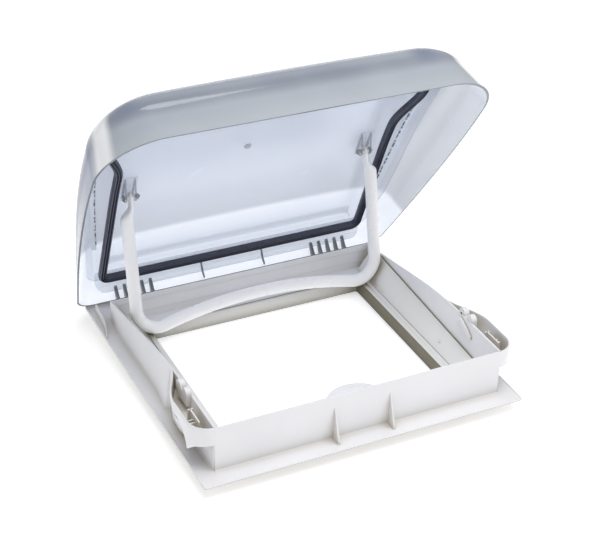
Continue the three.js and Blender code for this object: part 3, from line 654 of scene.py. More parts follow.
def dome_skin(name, stops, clear_low, clear_high, rough, glow=0.0, inside=False):
    """Tinted acrylic of the dome.

    Outside, the tint changes with the height over the free edge, with painted shade, reflection and highlight
    bands, and inside with the distance from the hinge, as painted light with a painted glow.
    """
    look = Look(name)
    along, height = look.lid_place()
    tint = look.steps(along if inside else height, stops)
    # Pale clouds and dark streaks are painted reflections.
    clouds = look.range(look.noise(5, 3), 0.35, 0.7)
    streaks = look.range(look.noise(40, 4, 0.6), 0.45, 0.8)
    tint = look.mix(look.product(clouds, 0.16), tint, linear(236, 238, 242))
    tint = look.mix(look.product(streaks, 0.05), tint, linear(120, 130, 150))
    if inside:
        # Inside, the skirt's lower part takes a paler tint, painted light.
        tint = look.mix(look.range(height, 60, 84, 1.0, 0.0, smooth=True), tint, INSIDE_SKIRT_PAINTED_LIGHT)
        # A painted glow inside, stronger towards the hinge.
        glow = look.range(along, REAR_GLOW_FROM, REAR_GLOW_FULL, glow, glow + 0.55, smooth=True)
        side = 0.0
    else:
        tint, side = painted_corner_reflections(look, along, height, tint)
    look.set(Base_Color=tint, Emission_Color=tint, Emission_Strength=glow)
    look.set(Roughness=look.range(look.noise(30, 5, 0.6), 0.3, 0.75, rough, rough + 0.09))
    look.set(Specular_IOR_Level=look.range(side, 0, 1, 0.5, 0.1))
    look.set(Coat_Weight=look.range(side, 0, 1, 0.5, 0.0), Coat_Roughness=0.08)
    scratches = look.product(look.noise(500, 2), 0.002)
    look.bump(look.math("ADD", look.noise(3, 1), scratches), 0.08, 0.003)
    see_through(look, look.range(height, 70, 100, clear_low, clear_high, smooth=True))
    return look.material


def linear(r, g, b):
    """A colour given as 0 to 255 display values."""
    def one(value):
        share = value / 255
        return share / 12.92 if share <= 0.04045 else ((share + 0.055) / 1.055) ** 2.4
    return (one(r), one(g), one(b))


# In these plastics the second colour is painted shade in corners; the white's last colour is a painted shade
# line along its foot.
WHITE = moulded_plastic(
    "white plastic", linear(233, 233, 236), linear(212, 207, 197), 0.42, 0.022, linear(176, 174, 172))
# Painted shade: the groove colours darken the rail's groove and the catch's eye hole.
PAINTED_GROOVE_SHADE = moulded_plastic("shaded groove", linear(186, 182, 170), linear(150, 144, 128), 0.6)
# A dark colour that paints the shadow in the gap behind the collar's rear lip.
PAINTED_SLOT_SHADOW = moulded_plastic("painted slot shadow", linear(92, 88, 76), linear(60, 56, 48), 0.7)
BOW_WHITE = moulded_plastic("bow coating", linear(250, 250, 252), linear(234, 233, 232), 0.3)
COLLAR = moulded_plastic("collar plastic", linear(226, 225, 222), linear(120, 114, 92), 0.45)
# Painted shade for the collar's right inner faces, dark because of how light falls on that side.
PAINTED_COLLAR_SHADE = moulded_plastic("collar inside painted shade", linear(118, 112, 92), linear(84, 78, 60), 0.55)
RAIL = moulded_plastic("rail plastic", linear(232, 231, 228), linear(176, 170, 154), 0.45, 0.02)

# The second colour of each rubber is a painted highlight on open places; the lip material is lighter all
# over, a painted highlight.
RUBBER = rubber("seal rubber", linear(22, 24, 36), linear(62, 66, 84))
SEAL_LIP_HIGHLIGHT = rubber("seal lips painted highlight", linear(74, 78, 96), linear(100, 104, 122))
DASH = rubber("bond dashes", linear(44, 48, 60), linear(80, 86, 98))
STEEL = metal("plated steel", linear(176, 178, 180), 0.32)

# Outside tints over the height from the free edge: the smoky tint with a painted shade band near the shoulder
# and a paler painted reflection at the top.
SKIRT_TINT_AND_SHADE_STOPS = [
    (-4, linear(170, 176, 184)), (34, linear(160, 167, 177)), (62, linear(124, 131, 144)),
    (78, linear(146, 153, 165)), (96, linear(192, 198, 209))]
# Inside tints over the distance from the hinge: darker far from it, paler and warmer towards it, painted
# light.
INSIDE_TINT_AND_LIGHT_STOPS = [
    (-505, linear(140, 147, 160)), (-400, linear(152, 158, 170)), (-290, linear(184, 188, 197)),
    (-170, linear(212, 215, 221)), (REAR_GLOW_FROM, linear(222, 224, 228)),
    (REAR_GLOW_FULL, linear(242, 238, 230))]
# A paler tint for the inside of the skirt, painted light.
INSIDE_SKIRT_PAINTED_LIGHT = linear(214, 217, 222)
SKIRT = dome_skin("dome outside", SKIRT_TINT_AND_SHADE_STOPS, 0.04, 0.5, 0.1)
# The dome's inside glows, painted light.
DOME_IN = dome_skin("dome inside", INSIDE_TINT_AND_LIGHT_STOPS, 0.2, 0.18, 0.2, 0.46, inside=True)


def clear_sheet(name, top, bottom, rough, clear, streaks=0.05, glow=0.0):
    """Acrylic of a small moulding, with its two tints a little apart in height."""
    return acrylic(name, linear(*top), linear(*bottom), 0.1, 0.5, rough, clear, streaks, glow)


# The pane is bluish above and paler below, a painted reflection.
PANE = acrylic("pane", linear(204, 209, 220), linear(234, 234, 236), 0.12, 0.40, 0.03, 0.92, 0.02, 0.0, 0.02)
FINGER = acrylic("hinge finger", linear(104, 110, 116), linear(120, 124, 128), 0.0, 0.1, 0.15, 0.1)
DOME_EDGE = clear_sheet("dome edge", (104, 112, 122), (120, 126, 134), 0.15, 0.0)
PANE_EDGE = clear_sheet("pane edge", (196, 201, 210), (206, 210, 218), 0.1, 0.78)
CLEAR = clear_sheet("clear moulding", (214, 219, 226), (226, 229, 234), 0.06, 0.78)
# Painted highlight: a bright, glowing colour for the leaf's ridges.
LEAF_RIDGE_HIGHLIGHT = clear_sheet("bright ridge", (240, 242, 246), (244, 246, 250), 0.08, 0.1, 0.02, 0.2)
# The bond band glows a little, painted light.
BAND = clear_sheet("bond band", (222, 227, 234), (226, 230, 236), 0.3, 0.2, 0.05, 0.15)
CLEAR_EAR = clear_sheet("bracket moulding", (222, 226, 232), (226, 229, 234), 0.05, 0.85, 0.02)
EAR_RIM = clear_sheet("bracket rim", (134, 140, 150), (140, 146, 156), 0.05, 0.35)
PLUG = clear_sheet("plug", (176, 184, 196), (200, 206, 214), 0.12, 0.1)

# ---- roof frame ----


def flange_shape():
    """Flat flange with a raised rounded edge and the neck opening."""
    top = FLANGE_THICK
    lip = FLANGE_THICK + FLANGE_LIP
    gap = NECK_WALL + GAP

    def edge(inset, z, corner):
        return rounded_box(FLANGE_HALF_WIDTH - inset, inset, FLANGE_DEPTH - inset, corner, z, 4)

    def hole(z):
        return rounded_box(NECK_HALF_WIDTH + gap, NECK_FRONT - gap, NECK_REAR + gap, 2, z, 4)
    rings = [
        hole(0), edge(0.8, 0, 3), edge(0, 0.8, 3.5), edge(0, lip - 0.8, 3.5), edge(0.4, lip - 0.2, 3.3),
        edge(1.0, lip, 3), edge(2.2, lip, 2.5), edge(2.8, lip - 0.4, 2.3), edge(3.4, top, 2), hole(top)]
    return Shape().rings(rings, closed=True)


def side_wall_shape():
    """Side wall on the right: upright inside, sloping outside, with a rounded rim."""
    rings = []
    inner = SIDE_WALL_IN
    outer = inner + 3.4
    for y in spread(FRONT_WALL_Y + 1, REAR_WALL_Y + 2, 60):
        top = rim_height(y)
        foot = through(SIDE_FOOT, y) if y > POD_REAR_Y - 9 else SIDE_WALL_IN + 4
        rings.append(across(y, [
            (inner, 2), (inner, top - 1), (inner + 0.3, top - 0.3), (inner + 1, top), (outer - 1, top),
            (outer - 0.3, top - 0.3), (outer, top - 1), (foot, 6), (foot + 1.5, 3.4), (foot + 3, 2)]))
    return Shape().rings(rings)


def pod_shape():
    """Outer wall of the pod on the right: it follows the rim above and draws in towards its lower edge."""
    loop = [(x, y) for x, y in rim_half_loop() if x > POD_INNER_X and y < POD_REAR_Y + 8]
    outer = offset_loop(loop, WALL / 2)
    inner = offset_loop(loop, -WALL / 2)
    rings = []
    for (x, y), (ox, oy), (ix, iy) in list(zip(loop, outer, inner))[1:-1]:
        top = rim_height(y)
        low = through(POD_BOTTOM_Z, y)
        draw_in = max(blend(60, 125, y) * (ox - through(SIDE_FOOT, y)), 0)
        foot_x = ox - draw_in - 1.5 * blend(36, 60, y)
        thick = (ix - ox, iy - oy)

        def at(share, into):
            """A point on the wall: share 0 at the rim and 1 at the lower edge."""
            bulge = share ** 1.5
            px = ox + (foot_x - ox) * bulge + thick[0] * into
            py = oy + thick[1] * into
            return (px, py, top + (low - top) * share)
        ring = [at(0, 0.3), at(0.012, 0.1), at(0.03, 0)]
        ring += [at(share, 0) for share in spread(0.15, 0.97, 8)]
        ring += [at(1, 0.1), at(1, 0.9)]
        ring += [at(share, 1) for share in reversed(spread(0.15, 0.97, 8))]
        ring += [at(0.03, 1), at(0.012, 0.9), at(0, 0.7)]
        rings.append(ring)
    return Shape().rings(rings)


def pod_inside_shape():
    """Floor of the pod's pocket with the T-shaped rib and the prongs."""
    floor = []
    z = POD_FLOOR_Z
    inner = SIDE_WALL_IN + 1.5
    for y in spread(FRONT_WALL_Y + 2, POD_REAR_Y - 10, 24):
        outer = max(pod_half_width(y) - WALL, inner + 2)
        floor.append(across(y, [(inner, z - 2), (inner, z), (outer, z), (outer, z - 2)]))
    shape = Shape().rings(floor)
    shape.join(block(243, 245, 56, 90, z - 1, RIM_TOP - 3))
    shape.join(block(240, 248, 88, 90.5, z - 1, RIM_TOP - 3))
    for y in (66, 73):
        shape.join(block(244, 254, y, y + 2, z - 1, RIM_TOP - 10))
    return shape


def front_wall_shape():
    """Front wall with a rounded rim and a small fillet at its foot."""
    y0, y1 = FRONT_WALL_Y, FRONT_WALL_Y + WALL
    top = RIM_TOP
    profile = [
        (y1, 2), (y1, top - 1), (y1 - 0.3, top - 0.3), (y1 - 1, top), (y0 + 1, top), (y0 + 0.3, top - 0.3),
        (y0, top - 1), (y0, 5.5), (y0 - 0.7, 3.8), (y0 - 2.4, 3.1), (y0 - 2.6, 2)]
    return prism(profile, -WALL_END_X, WALL_END_X, "X")


def gusset_shape(x):
    """Triangular gusset, thinner at its top."""
    foot_y, wall_y = 12, FRONT_WALL_Y + 0.5
    rings = []
    for foot_x, top_x in ((x - 1.7, x - 0.9), (x + 1.7, x + 0.9)):
        rings.append([
            (foot_x, foot_y, 2), (foot_x, wall_y, 2), (top_x, wall_y, GUSSET_TOP), (foot_x, foot_y, 4)])
    return Shape().rings(rings)


def rear_wall_shape():
    """Rear wall: it leans back inside and has a rounded top edge."""
    y = REAR_WALL_Y
    top = rim_height(y + WALL)
    profile = [
        (432, 2), (433, 3.2), (434, 5), (y - 0.6, top - 1.6), (y, top - 0.6), (y + 1, top),
        (y + 2.2, top), (y + WALL, top - 1), (y + WALL, 2)]
    shape = prism(profile, -WALL_END_X, WALL_END_X, "X")
    for y, z in ((REAR_WALL_Y - 3.2, 28), (437.6, 12)):
        ridge = [(y - 1, z), (y - 0.4, z + 0.9), (y + 2.4, z + 1), (y + 2.4, z - 1)]
        shape.join(prism(ridge, -REAR_RIDGE_X, REAR_RIDGE_X, "X"))
    return shape


def corner_rib_shape():
    """Curved rib near the flange's rear corner on the right."""
    line = [
        (247, 478), (247.4, 470), (248, 462), (248.4, 451), (249, 440), (249.8, 431), (251, 422),
        (252.8, 415), (255, 408), (257.2, 398)]
    rings = []
    for x, y in line:
        top = 7 + 9 * blend(404, 440, y)
        rings.append(across(y, [
            (x - 1.8, 2), (x - 1.1, top - 0.5), (x, top), (x + 1.1, top - 0.5), (x + 1.8, 2)]))
    return Shape().rings(rings)


def knuckle_shape():
    """Hinge knuckles on the flange on the right."""
    shape = Shape()
    for i in range(FINGER_COUNT - 1):
        x = FINGER_FIRST_X + (i + 0.5) * FINGER_PITCH
        outline = [(HINGE_Y + 6, 2)] + arc(HINGE_Y, HINGE_Z, KNUCKLE_RADIUS, 0, 180, 12) + [(HINGE_Y - 6, 2)]
        shape.join(prism(outline, x - 3.6, x + 3.6, "X"))
    return shape


def roof_frame():
    shape = flange_shape()
    right = side_wall_shape().join(pod_shape(), pod_inside_shape(), corner_rib_shape(), knuckle_shape())
    shape.join(front_wall_shape(), rear_wall_shape(), right.both_sides())
    shape.join(gusset_shape(-GUSSET_X), gusset_shape(GUSSET_X))
    build("frame_moulding", shape, [WHITE], "frame", ["roof_frame"], "white_plastic", smooth=38)


# ---- lid ----


def dome_half_width(y):
    """Half width of the dome's free edge: it narrows towards the hinge."""
    share = max(y - DOME_TAPER_Y, 0) / (DOME_REAR_Y - 26 - DOME_TAPER_Y)
    return DOME_HALF_WIDTH - DOME_REAR_TAPER * share ** 1.6


def dome_loop(in_front, in_side, in_rear, front_corner, rear_corner):
    """A loop of the dome in plan, drawn in from its free edge by separate amounts."""
    front = DOME_FRONT_Y + in_front
    rear = DOME_REAR_Y - in_rear

    def side_x(y):
        return dome_half_width(y) - in_side
    ahead = [(x, front) for x in spread(0, side_x(0) - front_corner, 16)]
    corner = arc(side_x(0) - front_corner, front + front_corner, front_corner, -90, 0, 24)
    end = rear - rear_corner
    side = [(side_x(y), y) for y in spread(front + front_corner, end, 28)]
    back = arc(side_x(end) - rear_corner, end, rear_corner, 0, 90, 12)
    behind = [(x, rear) for x in spread(side_x(end) - rear_corner, 0, 16)]
    return whole_loop(ahead[1:] + corner[1:] + side[1:-1] + back + behind[1:-1])


def dome_edge_height(y):
    """Height of the dome's free edge."""
    return 4 + 0.025 * (y - DOME_FRONT_Y)


def dome_top_height(x, y):
    """Height of the dome's top, which follows the rim and sags to both sides."""
    return rim_height(y) + DOME_RISE - DOME_SAG * (x / DOME_SAG_X) ** 2


def dome_shoulder_height(y):
    """Height where the dome's skirt starts to turn into its top."""
    frontness = clamp(1 - (y - DOME_FRONT_Y) / 110)
    share = 0.34 + 0.24 * frontness
    low = dome_edge_height(y)
    return low + share * (dome_top_height(0, y) - low)


def dome_rings(inset):
    """Rings of one face of the dome, from the free edge to the middle of the top."""
    edge = dome_loop(inset, inset, inset, DOME_CORNER, DOME_REAR_CORNER)
    shoulder = dome_loop(19 + inset, 7 + inset, 3 + inset, 85, 34)
    crown = dome_loop(64, 66, 74, 70, 30)
    rings = []
    for share in spread(0, 1, 6)[:-1]:
        ring = []
        for (ex, ey), (sx, sy) in zip(edge, shoulder):
            low, high = dome_edge_height(ey), dome_shoulder_height(sy)
            ring.append((ex + (sx - ex) * share, ey + (sy - ey) * share, low + (high - low) * share))
        rings.append(ring)
    for angle in spread(0, math.pi / 2, 16):
        inwards = 1 - math.cos(angle)
        ring = []
        for (sx, sy), (cx, cy) in zip(shoulder, crown):
            x = sx + (cx - sx) * inwards
            y = sy + (cy - sy) * inwards
            low = dome_shoulder_height(sy)
            high = dome_top_height(x, y) - inset
            ring.append((x, y, low + (high - low) * math.sin(angle)))
        rings.append(ring)
    for share in (0.92, 0.8, 0.65, 0.5, 0.35, 0.2, 0.08, 0.01):
        ring = []
        for cx, cy in crown:
            y = DOME_MIDDLE_Y + (cy - DOME_MIDDLE_Y) * share
            x = cx * share
            ring.append((x, y, dome_top_height(x, y) - inset + DOME_CROWN * (1 - share * share)))
        rings.append(ring)
    return rings


def outer_dome():
    inside = list(reversed(dome_rings(DOME_THICK)))
    outside = dome_rings(0)
    materials = [1] * (len(inside) - 1) + [2] + [0] * (len(outside) - 1)
    shape = Shape().rings(inside + outside, materials=materials)
    build("dome", shape, [SKIRT, DOME_IN, DOME_EDGE], "lid", ["outer_dome"], "smoky_acrylic", smooth=50)


def pane_bend_x(y):
    """Where the pane's flange bends down."""
    return dome_half_width(y) - PANE_BEND_IN


def pane_lip_x(y):
    """Outer edge of the pane's flange."""
    return dome_half_width(y) - PANE_LIP_IN


def pane_ring(side_x, front_y, front_corner, rear_y, rise_at):
    """A ring of the pane's flange. It has as many points as the rim's loop, in the same order."""
    rear_corner = 24
    corner_y = front_y + front_corner
    front = [(x, front_y) for x in spread(0, side_x(corner_y) - front_corner, 12)]
    corner = arc(side_x(corner_y) - front_corner, corner_y, front_corner, -90, 0, 12)
    ahead = front[1:] + corner[1:]
    side_y = [y for x, y in rim_half_loop()[len(ahead):-20]]
    side = [(side_x(y), max(y, corner_y + 0.1 * i)) for i, y in enumerate(side_y)]
    rear = arc(side_x(rear_y - rear_corner) - rear_corner, rear_y - rear_corner, rear_corner, 0, 90, 6)
    back = [(x, rear_y) for x in spread(rear[-1][0] - 8, 8, 12)]
    return [(x, y, rim_height(y) + rise_at(y)) for x, y in whole_loop(ahead + side + rear + back)]


def raised_ring(offset, rise):
    """The edge of the pane's raised middle: it follows the rim, but with rounder front corners."""
    ahead = 24
    loop = rim_ring(offset, rise)
    start_x = loop[ahead][0]
    start_y = FRONT_WALL_Y + 1.5 - offset
    front = [(x, start_y) for x in spread(0, start_x - PANE_CORNER, 12)]
    corner = arc(start_x - PANE_CORNER, start_y + PANE_CORNER, PANE_CORNER, -90, 0, 12)
    right = [(x, y, rim_height(y) + rise) for x, y in front[1:] + corner[1:]]
    left = [(-x, y, z) for x, y, z in reversed(right)]
    return right + loop[ahead:-ahead] + left


def inner_pane():
    """Clear pane: a wide flange over the seal, with its sides bent down, and a raised middle."""
    def bend(extra, inset=0):
        return pane_ring(
            lambda y: pane_bend_x(y) - inset, 23 + inset, 45, PANE_REAR_Y - inset,
            lambda y: PANE_FLANGE + extra)

    def lip(extra, inset=0):
        return pane_ring(
            lambda y: pane_lip_x(y) - inset, 16 + inset, 70, PANE_REAR_Y + 1.5 - inset,
            lambda y: PANE_FLANGE - PANE_DROP * clamp((430 - y) / 60) + extra)
    high = PANE_RISE + PANE_THICK
    flange = PANE_FLANGE + PANE_THICK
    under = [
        lip(0.4), lip(0, 0.6), bend(-0.2, 0), bend(0, 1.5), rim_ring(-8, PANE_FLANGE),
        rim_ring(-10, PANE_FLANGE + 1), raised_ring(-15, PANE_RISE - 1.2), raised_ring(-17, PANE_RISE),
        raised_ring(-28, PANE_RISE)]
    over = [
        lip(PANE_THICK - 0.4), lip(PANE_THICK, 0.6), bend(PANE_THICK - 0.2, 0.4), bend(PANE_THICK, 2),
        rim_ring(-7, flange), rim_ring(-8.5, flange + 1), raised_ring(-13, high - 1.2),
        raised_ring(-15, high), raised_ring(-28, high)]
    bands = [0] * (len(under) - 3) + [1, 0, 1, 1] + [0] * (len(over) - 2)
    shape = Shape().rings(list(reversed(under)) + over, materials=bands, strips=True)
    build("pane", shape, [PANE, PANE_EDGE], "lid", ["inner_pane"], "clear_acrylic", smooth=50)


def lid_seal():
    """Rubber profile with three lips, carried round the rim."""
    low, high = SEAL_BASE, SEAL_BASE + SEAL_HEIGHT
    half = SEAL_HALF
    section = [
        (half - 1, low + 2.2), (half, low + 3.2), (half - 0.6, high - 1), (half - 1.2, high),
        (1.2 - half, high), (0.6 - half, high - 1), (-half, low + 3.2), (1 - half, low + 2.2),
        (1.8 - half, low + 0.4), (2.6 - half, low), (3.2 - half, low + 0.8), (3.8 - half, low + 2.4),
        (-1.6, low + 2.4), (-1, low + 0.6), (-0.2, low), (0.6, low + 0.8), (1.2, low + 2.4),
        (half - 3.8, low + 2.4), (half - 3.2, low + 0.8), (half - 2.6, low), (half - 1.8, low + 0.4)]
    # The lips' tips take the lighter lip material, a painted highlight.
    lip_bands = {9, 14, 19}
    bands = [1 if i in lip_bands else 0 for i in range(len(section))]
    shape = Shape().rings([rim_ring(offset, rise) for offset, rise in section], closed=True, materials=bands)
    build("seal", shape, [RUBBER, SEAL_LIP_HIGHLIGHT], "lid", ["lid_seal"], "seal_rubber", smooth=50)


# ---- bow ----


def bow_line():
    """Middle line of the bow, from the right arm round the cross bar to the left arm.

    Its points are (X, distance from the pivot).
    """
    corner_x = BOW_HALF_WIDTH - BOW_BEND
    reach = BOW_BAR_RADIUS + BOW_BEND
    turn = math.asin(corner_x / reach)
    corner_s = BOW_MIDDLE + BOW_BAR_RADIUS - reach * math.cos(turn)
    turn = math.degrees(turn)
    arm = [(BOW_HALF_WIDTH, s) for s in spread(34, corner_s - 6, 10)]
    right = arm + arc(corner_x, corner_s, BOW_BEND, 0, 90 + turn, 20)
    bar = arc(0, BOW_MIDDLE + BOW_BAR_RADIUS, BOW_BAR_RADIUS, turn - 90, -turn - 90, 32)[1:-1]
    return right + bar + [(-x, s) for x, s in reversed(right)]


def match(*runs):
    """Joins runs of rings, and turns each ring so that its points line up with the ring before."""
    result = []
    for ring in (r for run in runs for r in run):
        if result:
            count = len(ring)
            before = result[-1]
            options = []
            for order in (ring, list(reversed(ring))):
                for shift in range(count):
                    turned_ring = order[shift:] + order[:shift]
                    cost = sum((Vector(a) - Vector(b)).length for a, b in zip(before[::4], turned_ring[::4]))
                    options.append((cost, turned_ring))
            ring = min(options, key=lambda option: option[0])[1]
        result.append(ring)
    return result


def bow_tube():
    """The bow: a bent round tube whose ends are pressed flat on their inner side."""
    line = bow_line()
    rings = []
    for i, (x, s) in enumerate(line):
        before = line[max(i - 1, 0)]
        after = line[min(i + 1, len(line) - 1)]
        along = Vector((after[0] - before[0], after[1] - before[1])).normalized()
        ring = []
        for u, v in circle(BOW_RADIUS):
            ring.append((x + along.y * u, BOW_PIVOT_Y - (s - along.x * u), BOW_PIVOT_Z + v))
        rings.append(ring)

    def end_rings(side):
        made = []
        for s in (-7.6, -7, -4.5, 0, 8, 16, 21, 26, 30):
            press = 1 - blend(14, 34, s)
            x = BOW_BLADE_X + (BOW_HALF_WIDTH - BOW_BLADE_X) * (1 - press)
            thick = BOW_RADIUS + (BLADE_HALF_THICK - BOW_RADIUS) * press
            wide = BOW_RADIUS + (BLADE_HALF_WIDTH - BOW_RADIUS) * press
            if s < 0:
                wide = math.sqrt(max(BLADE_HALF_WIDTH ** 2 - s * s, 1))
            ring = []
            for u, v in circle(1):
                pu = math.copysign(abs(u) ** (1 - 0.5 * press), u)
                pv = math.copysign(abs(v) ** (1 - 0.35 * press), v)
                ring.append((side * (x + thick * pu), BOW_PIVOT_Y - s, BOW_PIVOT_Z + wide * pv))
            made.append(ring)
        return made
    shape = Shape().rings(match(end_rings(1), rings, list(reversed(end_rings(-1)))))
    build("bow", shape, [BOW_WHITE], "bow", ["bow_tube"], "bow_plastic", smooth=60)


# ---- collar, rails and catches ----


def neck_collar():
    """Thin collar that lines the roof opening, with a rounded lip that lies on the flange."""
    def ring(grow, z, front_grow=None):
        front = grow if front_grow is None else front_grow
        corner = max(4 + grow, 1)
        return rounded_box(NECK_HALF_WIDTH + grow, NECK_FRONT - front, NECK_REAR + grow, corner, z)
    foot = -NECK_DROP
    lip = FLANGE_THICK + GAP
    rings = [
        ring(0, foot + 0.6), ring(0.6, foot), ring(1.6, foot), ring(NECK_WALL, foot + 0.6),
        ring(NECK_WALL, lip), ring(8.4, lip, 2.4), ring(9, lip + 0.5, 2.5), ring(8.8, lip + 1.4, 2.5),
        ring(8, lip + 1.8, 2.4), ring(1.2, lip + 1.8, 1), ring(0.3, lip + 1.4, 0.3), ring(0, lip + 0.6)]
    shape = Shape().rings(rings, closed=True)
    # The right inner faces take the dark collar material: painted shade on that side.
    for i, face in enumerate(shape.faces):
        if all(shape.points[p][0] > NECK_HALF_WIDTH - 2 and shape.points[p][2] < lip + 1.6 for p in face):
            shape.materials[i] = 2
    # A thin dark strip behind the rear lip paints the shadow in the gap there.
    slot_z = lip + 1.85
    slot = block(-132, 150, NECK_REAR + 3.2, NECK_REAR + 4.6, slot_z - 1, slot_z)
    shape.join(slot.paint(1))
    looks = [COLLAR, PAINTED_SLOT_SHADOW, PAINTED_COLLAR_SHADE]
    build("collar", shape, looks, "frame", ["neck_collar"], "grey_plastic", smooth=40)


def rail_top(y):
    return min(22 + 0.062 * (y - RAIL_FRONT), rim_height(y) - 2)


def rail_shape():
    """Sloping rail on the right: a slanted face with a groove along its top, against the side wall."""
    foot = FLANGE_THICK + GAP
    outer = SIDE_WALL_IN - GAP
    rings = []
    for y in spread(RAIL_FRONT, RAIL_REAR, 40):
        top = rail_top(y)
        rings.append(across(y, [
            (RAIL_IN, foot), (outer, foot), (outer, top), (outer - 0.6, top), (outer - 0.8, top - 1.8),
            (outer - 2.4, top - 1.8), (outer - 2.6, top - 0.9), (outer - 3.3, top - 1.2),
            (RAIL_IN + 1, foot + 1.6), (RAIL_IN, foot + 1.2)]))
    shape = Shape().rings(rings)
    # The groove faces take the painted groove shade colour.
    groove_faces = (3, 4, 5)
    per_ring = len(rings[0])
    for band in range(len(rings) - 1):
        for side in groove_faces:
            shape.materials[band * per_ring + side] = 1
    z = foot + 11
    pad = [(6.4, z - 6), (6.4, z), (5.9, z + 0.6), (4.6, z + 0.6), (4.4, z - 0.6), (0, z - 0.6)]
    for y in RAIL_SCREWS:
        shape.join(turned(pad, along_z(RAIL_SCREW_X, y)))
    return shape


def rails():
    pair("rail", rail_shape(), [RAIL, PAINTED_GROOVE_SHADE], "frame", "bow_rail", "grey_plastic", smooth=35)


def catch_block_shape():
    """Two-lobed block in the side wall's notch, with an eye, a slot and two ribs."""
    inner, outer = SIDE_WALL_IN + 2, SIDE_WALL_IN + 10.5
    front, rear = CATCH_FRONT_Y + 0.5, CATCH_REAR_Y - 0.5
    outline = [(front, CATCH_SEAT_Z + 0.5), (rear, CATCH_SEAT_Z + 0.5)]
    outline += arc(rear - CATCH_LOBE, CATCH_LOBE_Z, CATCH_LOBE, 0, 180, 14)
    outline += arc(front + CATCH_LOBE, CATCH_LOBE_Z, CATCH_LOBE, 0, 180, 14)
    shape = prism(outline, inner, outer, "X")
    eye_axis = along_x(rear - CATCH_LOBE, CATCH_LOBE_Z)
    eye = [
        (5, inner - 1.2), (5.4, inner - 0.8), (5.4, inner + 1), (3, inner + 1), (2.6, inner - 0.8),
        (2.8, inner - 1.2)]
    shape.join(turned(eye, eye_axis, 20))
    # The eye's hole is a disc in the painted groove shade colour.
    hole = turned([(2.6, inner - 0.1), (2.6, inner - 0.4), (0, inner - 0.4)], eye_axis, 20)
    shape.join(hole.paint(1))
    for y in (front + 3, front + 12):
        shape.join(block(inner - 1.4, inner + 0.5, y, y + 1.8, CATCH_SEAT_Z + 2, CATCH_LOBE_Z))
    shape.join(block(inner - 1.4, inner + 0.5, front + 3, front + 13.8, CATCH_SEAT_Z + 9, CATCH_SEAT_Z + 11))
    return shape


def catch_lever_shape():
    """Bent catch lever with a hooked tip and a pivot boss."""
    near, far = SIDE_WALL_IN - 4.3, SIDE_WALL_IN - 0.7
    y, z = CATCH_PIVOT_Y, CATCH_PIVOT_Z
    outline = arc(y, z, 5.5, -60, 120, 12)
    outline += [
        (y - 9, z + 3.2), (y - 22, z - 3.4), (112, 60), (107.6, 57), (106.6, 53.4), (108.4, 50.4),
        (112, 50.2), (113.4, 53), (117.5, 53.4), (y - 12, z - 6.4)]
    shape = prism(outline, near, far, "X")
    boss = [(3.6, near + 0.3), (3.6, near - 0.2), (3.2, near - 0.6), (0, near - 0.6)]
    pin = [(1.5, far - 0.5), (1.5, SIDE_WALL_IN + 6), (0, SIDE_WALL_IN + 6)]
    shape.join(turned(boss, along_x(y, z), 20), turned(pin, along_x(y, z), 12))
    return shape


def catches():
    for hand in ("right", "left"):
        holder, lever = catch_block_shape(), catch_lever_shape()
        if hand == "left":
            holder, lever = holder.mirror(), lever.mirror()
        build(f"catch_body_{hand}", holder, [WHITE, PAINTED_GROOVE_SHADE], "frame", [f"catch_block_{hand}"],
              "white_plastic", bevel=0.1, smooth=35)
        build(f"catch_arm_{hand}", lever, [WHITE], f"{hand}_catch", [f"catch_lever_{hand}"],
              "white_plastic", bevel=0.1, smooth=35)


def shelf():
    """Half-round shelf on the front wall, with a rounded edge, and the button in its well beneath."""
    back = FRONT_WALL_Y + WALL + GAP
    low = SHELF_TOP - SHELF_THICK

    def ring(inset, z):
        return [(x, y, z) for x, y in arc(0, back, SHELF_RADIUS - inset, 0, 180, 40)]

    def well(z):
        """The round well that the button slides in."""
        return [(x, y, z) for x, y in arc(0, BUTTON_Y, BUTTON_RADIUS + 0.6, -85, 265, 40)]
    rings = [
        well(low + 3), well(low), ring(1.2, low), ring(0.4, low + 0.4), ring(0, low + 1.2),
        ring(0, SHELF_TOP - 2.4), ring(0.7, SHELF_TOP - 0.8), ring(2.2, SHELF_TOP), ring(9, SHELF_TOP),
        ring(9.6, SHELF_TOP - 0.7), ring(11, SHELF_TOP - 0.7)]
    build("shelf", Shape().rings(rings), [WHITE], "frame", ["latch_shelf"], "white_plastic", smooth=35)
    profile = [
        (0, low - 3), (9.6, low - 3), (10.7, low - 2.4), (BUTTON_RADIUS, low - 1.4),
        (BUTTON_RADIUS, low - 0.2), (0, low - 0.2)]
    button = turned(profile, along_z(0, BUTTON_Y), 32)
    build("button", button, [WHITE], "button", ["latch_button"], "white_plastic", smooth=40)


# ---- small hardware of the lid ----


def bracket_shape():
    """Clear bracket on the right: a base plate and two triangular ears with thick rims."""
    def base(y):
        return rim_height(y) + PANE_RISE - 0.4
    rear, front = BOW_PIVOT_Y + 12, BOW_PIVOT_Y - 30
    middle = BOW_BLADE_X
    plate = []
    for y in spread(front - 4, rear + 4, 8):
        top = base(y)
        plate.append(across(y, [
            (middle - 12, top), (middle + 12, top), (middle + 12, top - 1.8), (middle + 11.3, top - 2.5),
            (middle - 11.3, top - 2.5), (middle - 12, top - 1.8)]))
    shape = Shape().rings(plate)
    outline = [(rear, base(rear)), (front, base(front)), (front + 3, base(front) - 3)]
    outline += arc(BOW_PIVOT_Y, BOW_PIVOT_Z, 6.5, 210, 350, 12)
    for x in (middle - EAR_OFFSET, middle + EAR_OFFSET):
        ear = prism(outline, x - EAR_THICK / 2, x + EAR_THICK / 2, "X")
        ear.materials = [1 if len(face) == 4 else 0 for face in ear.faces]
        shape.join(ear)
    return shape


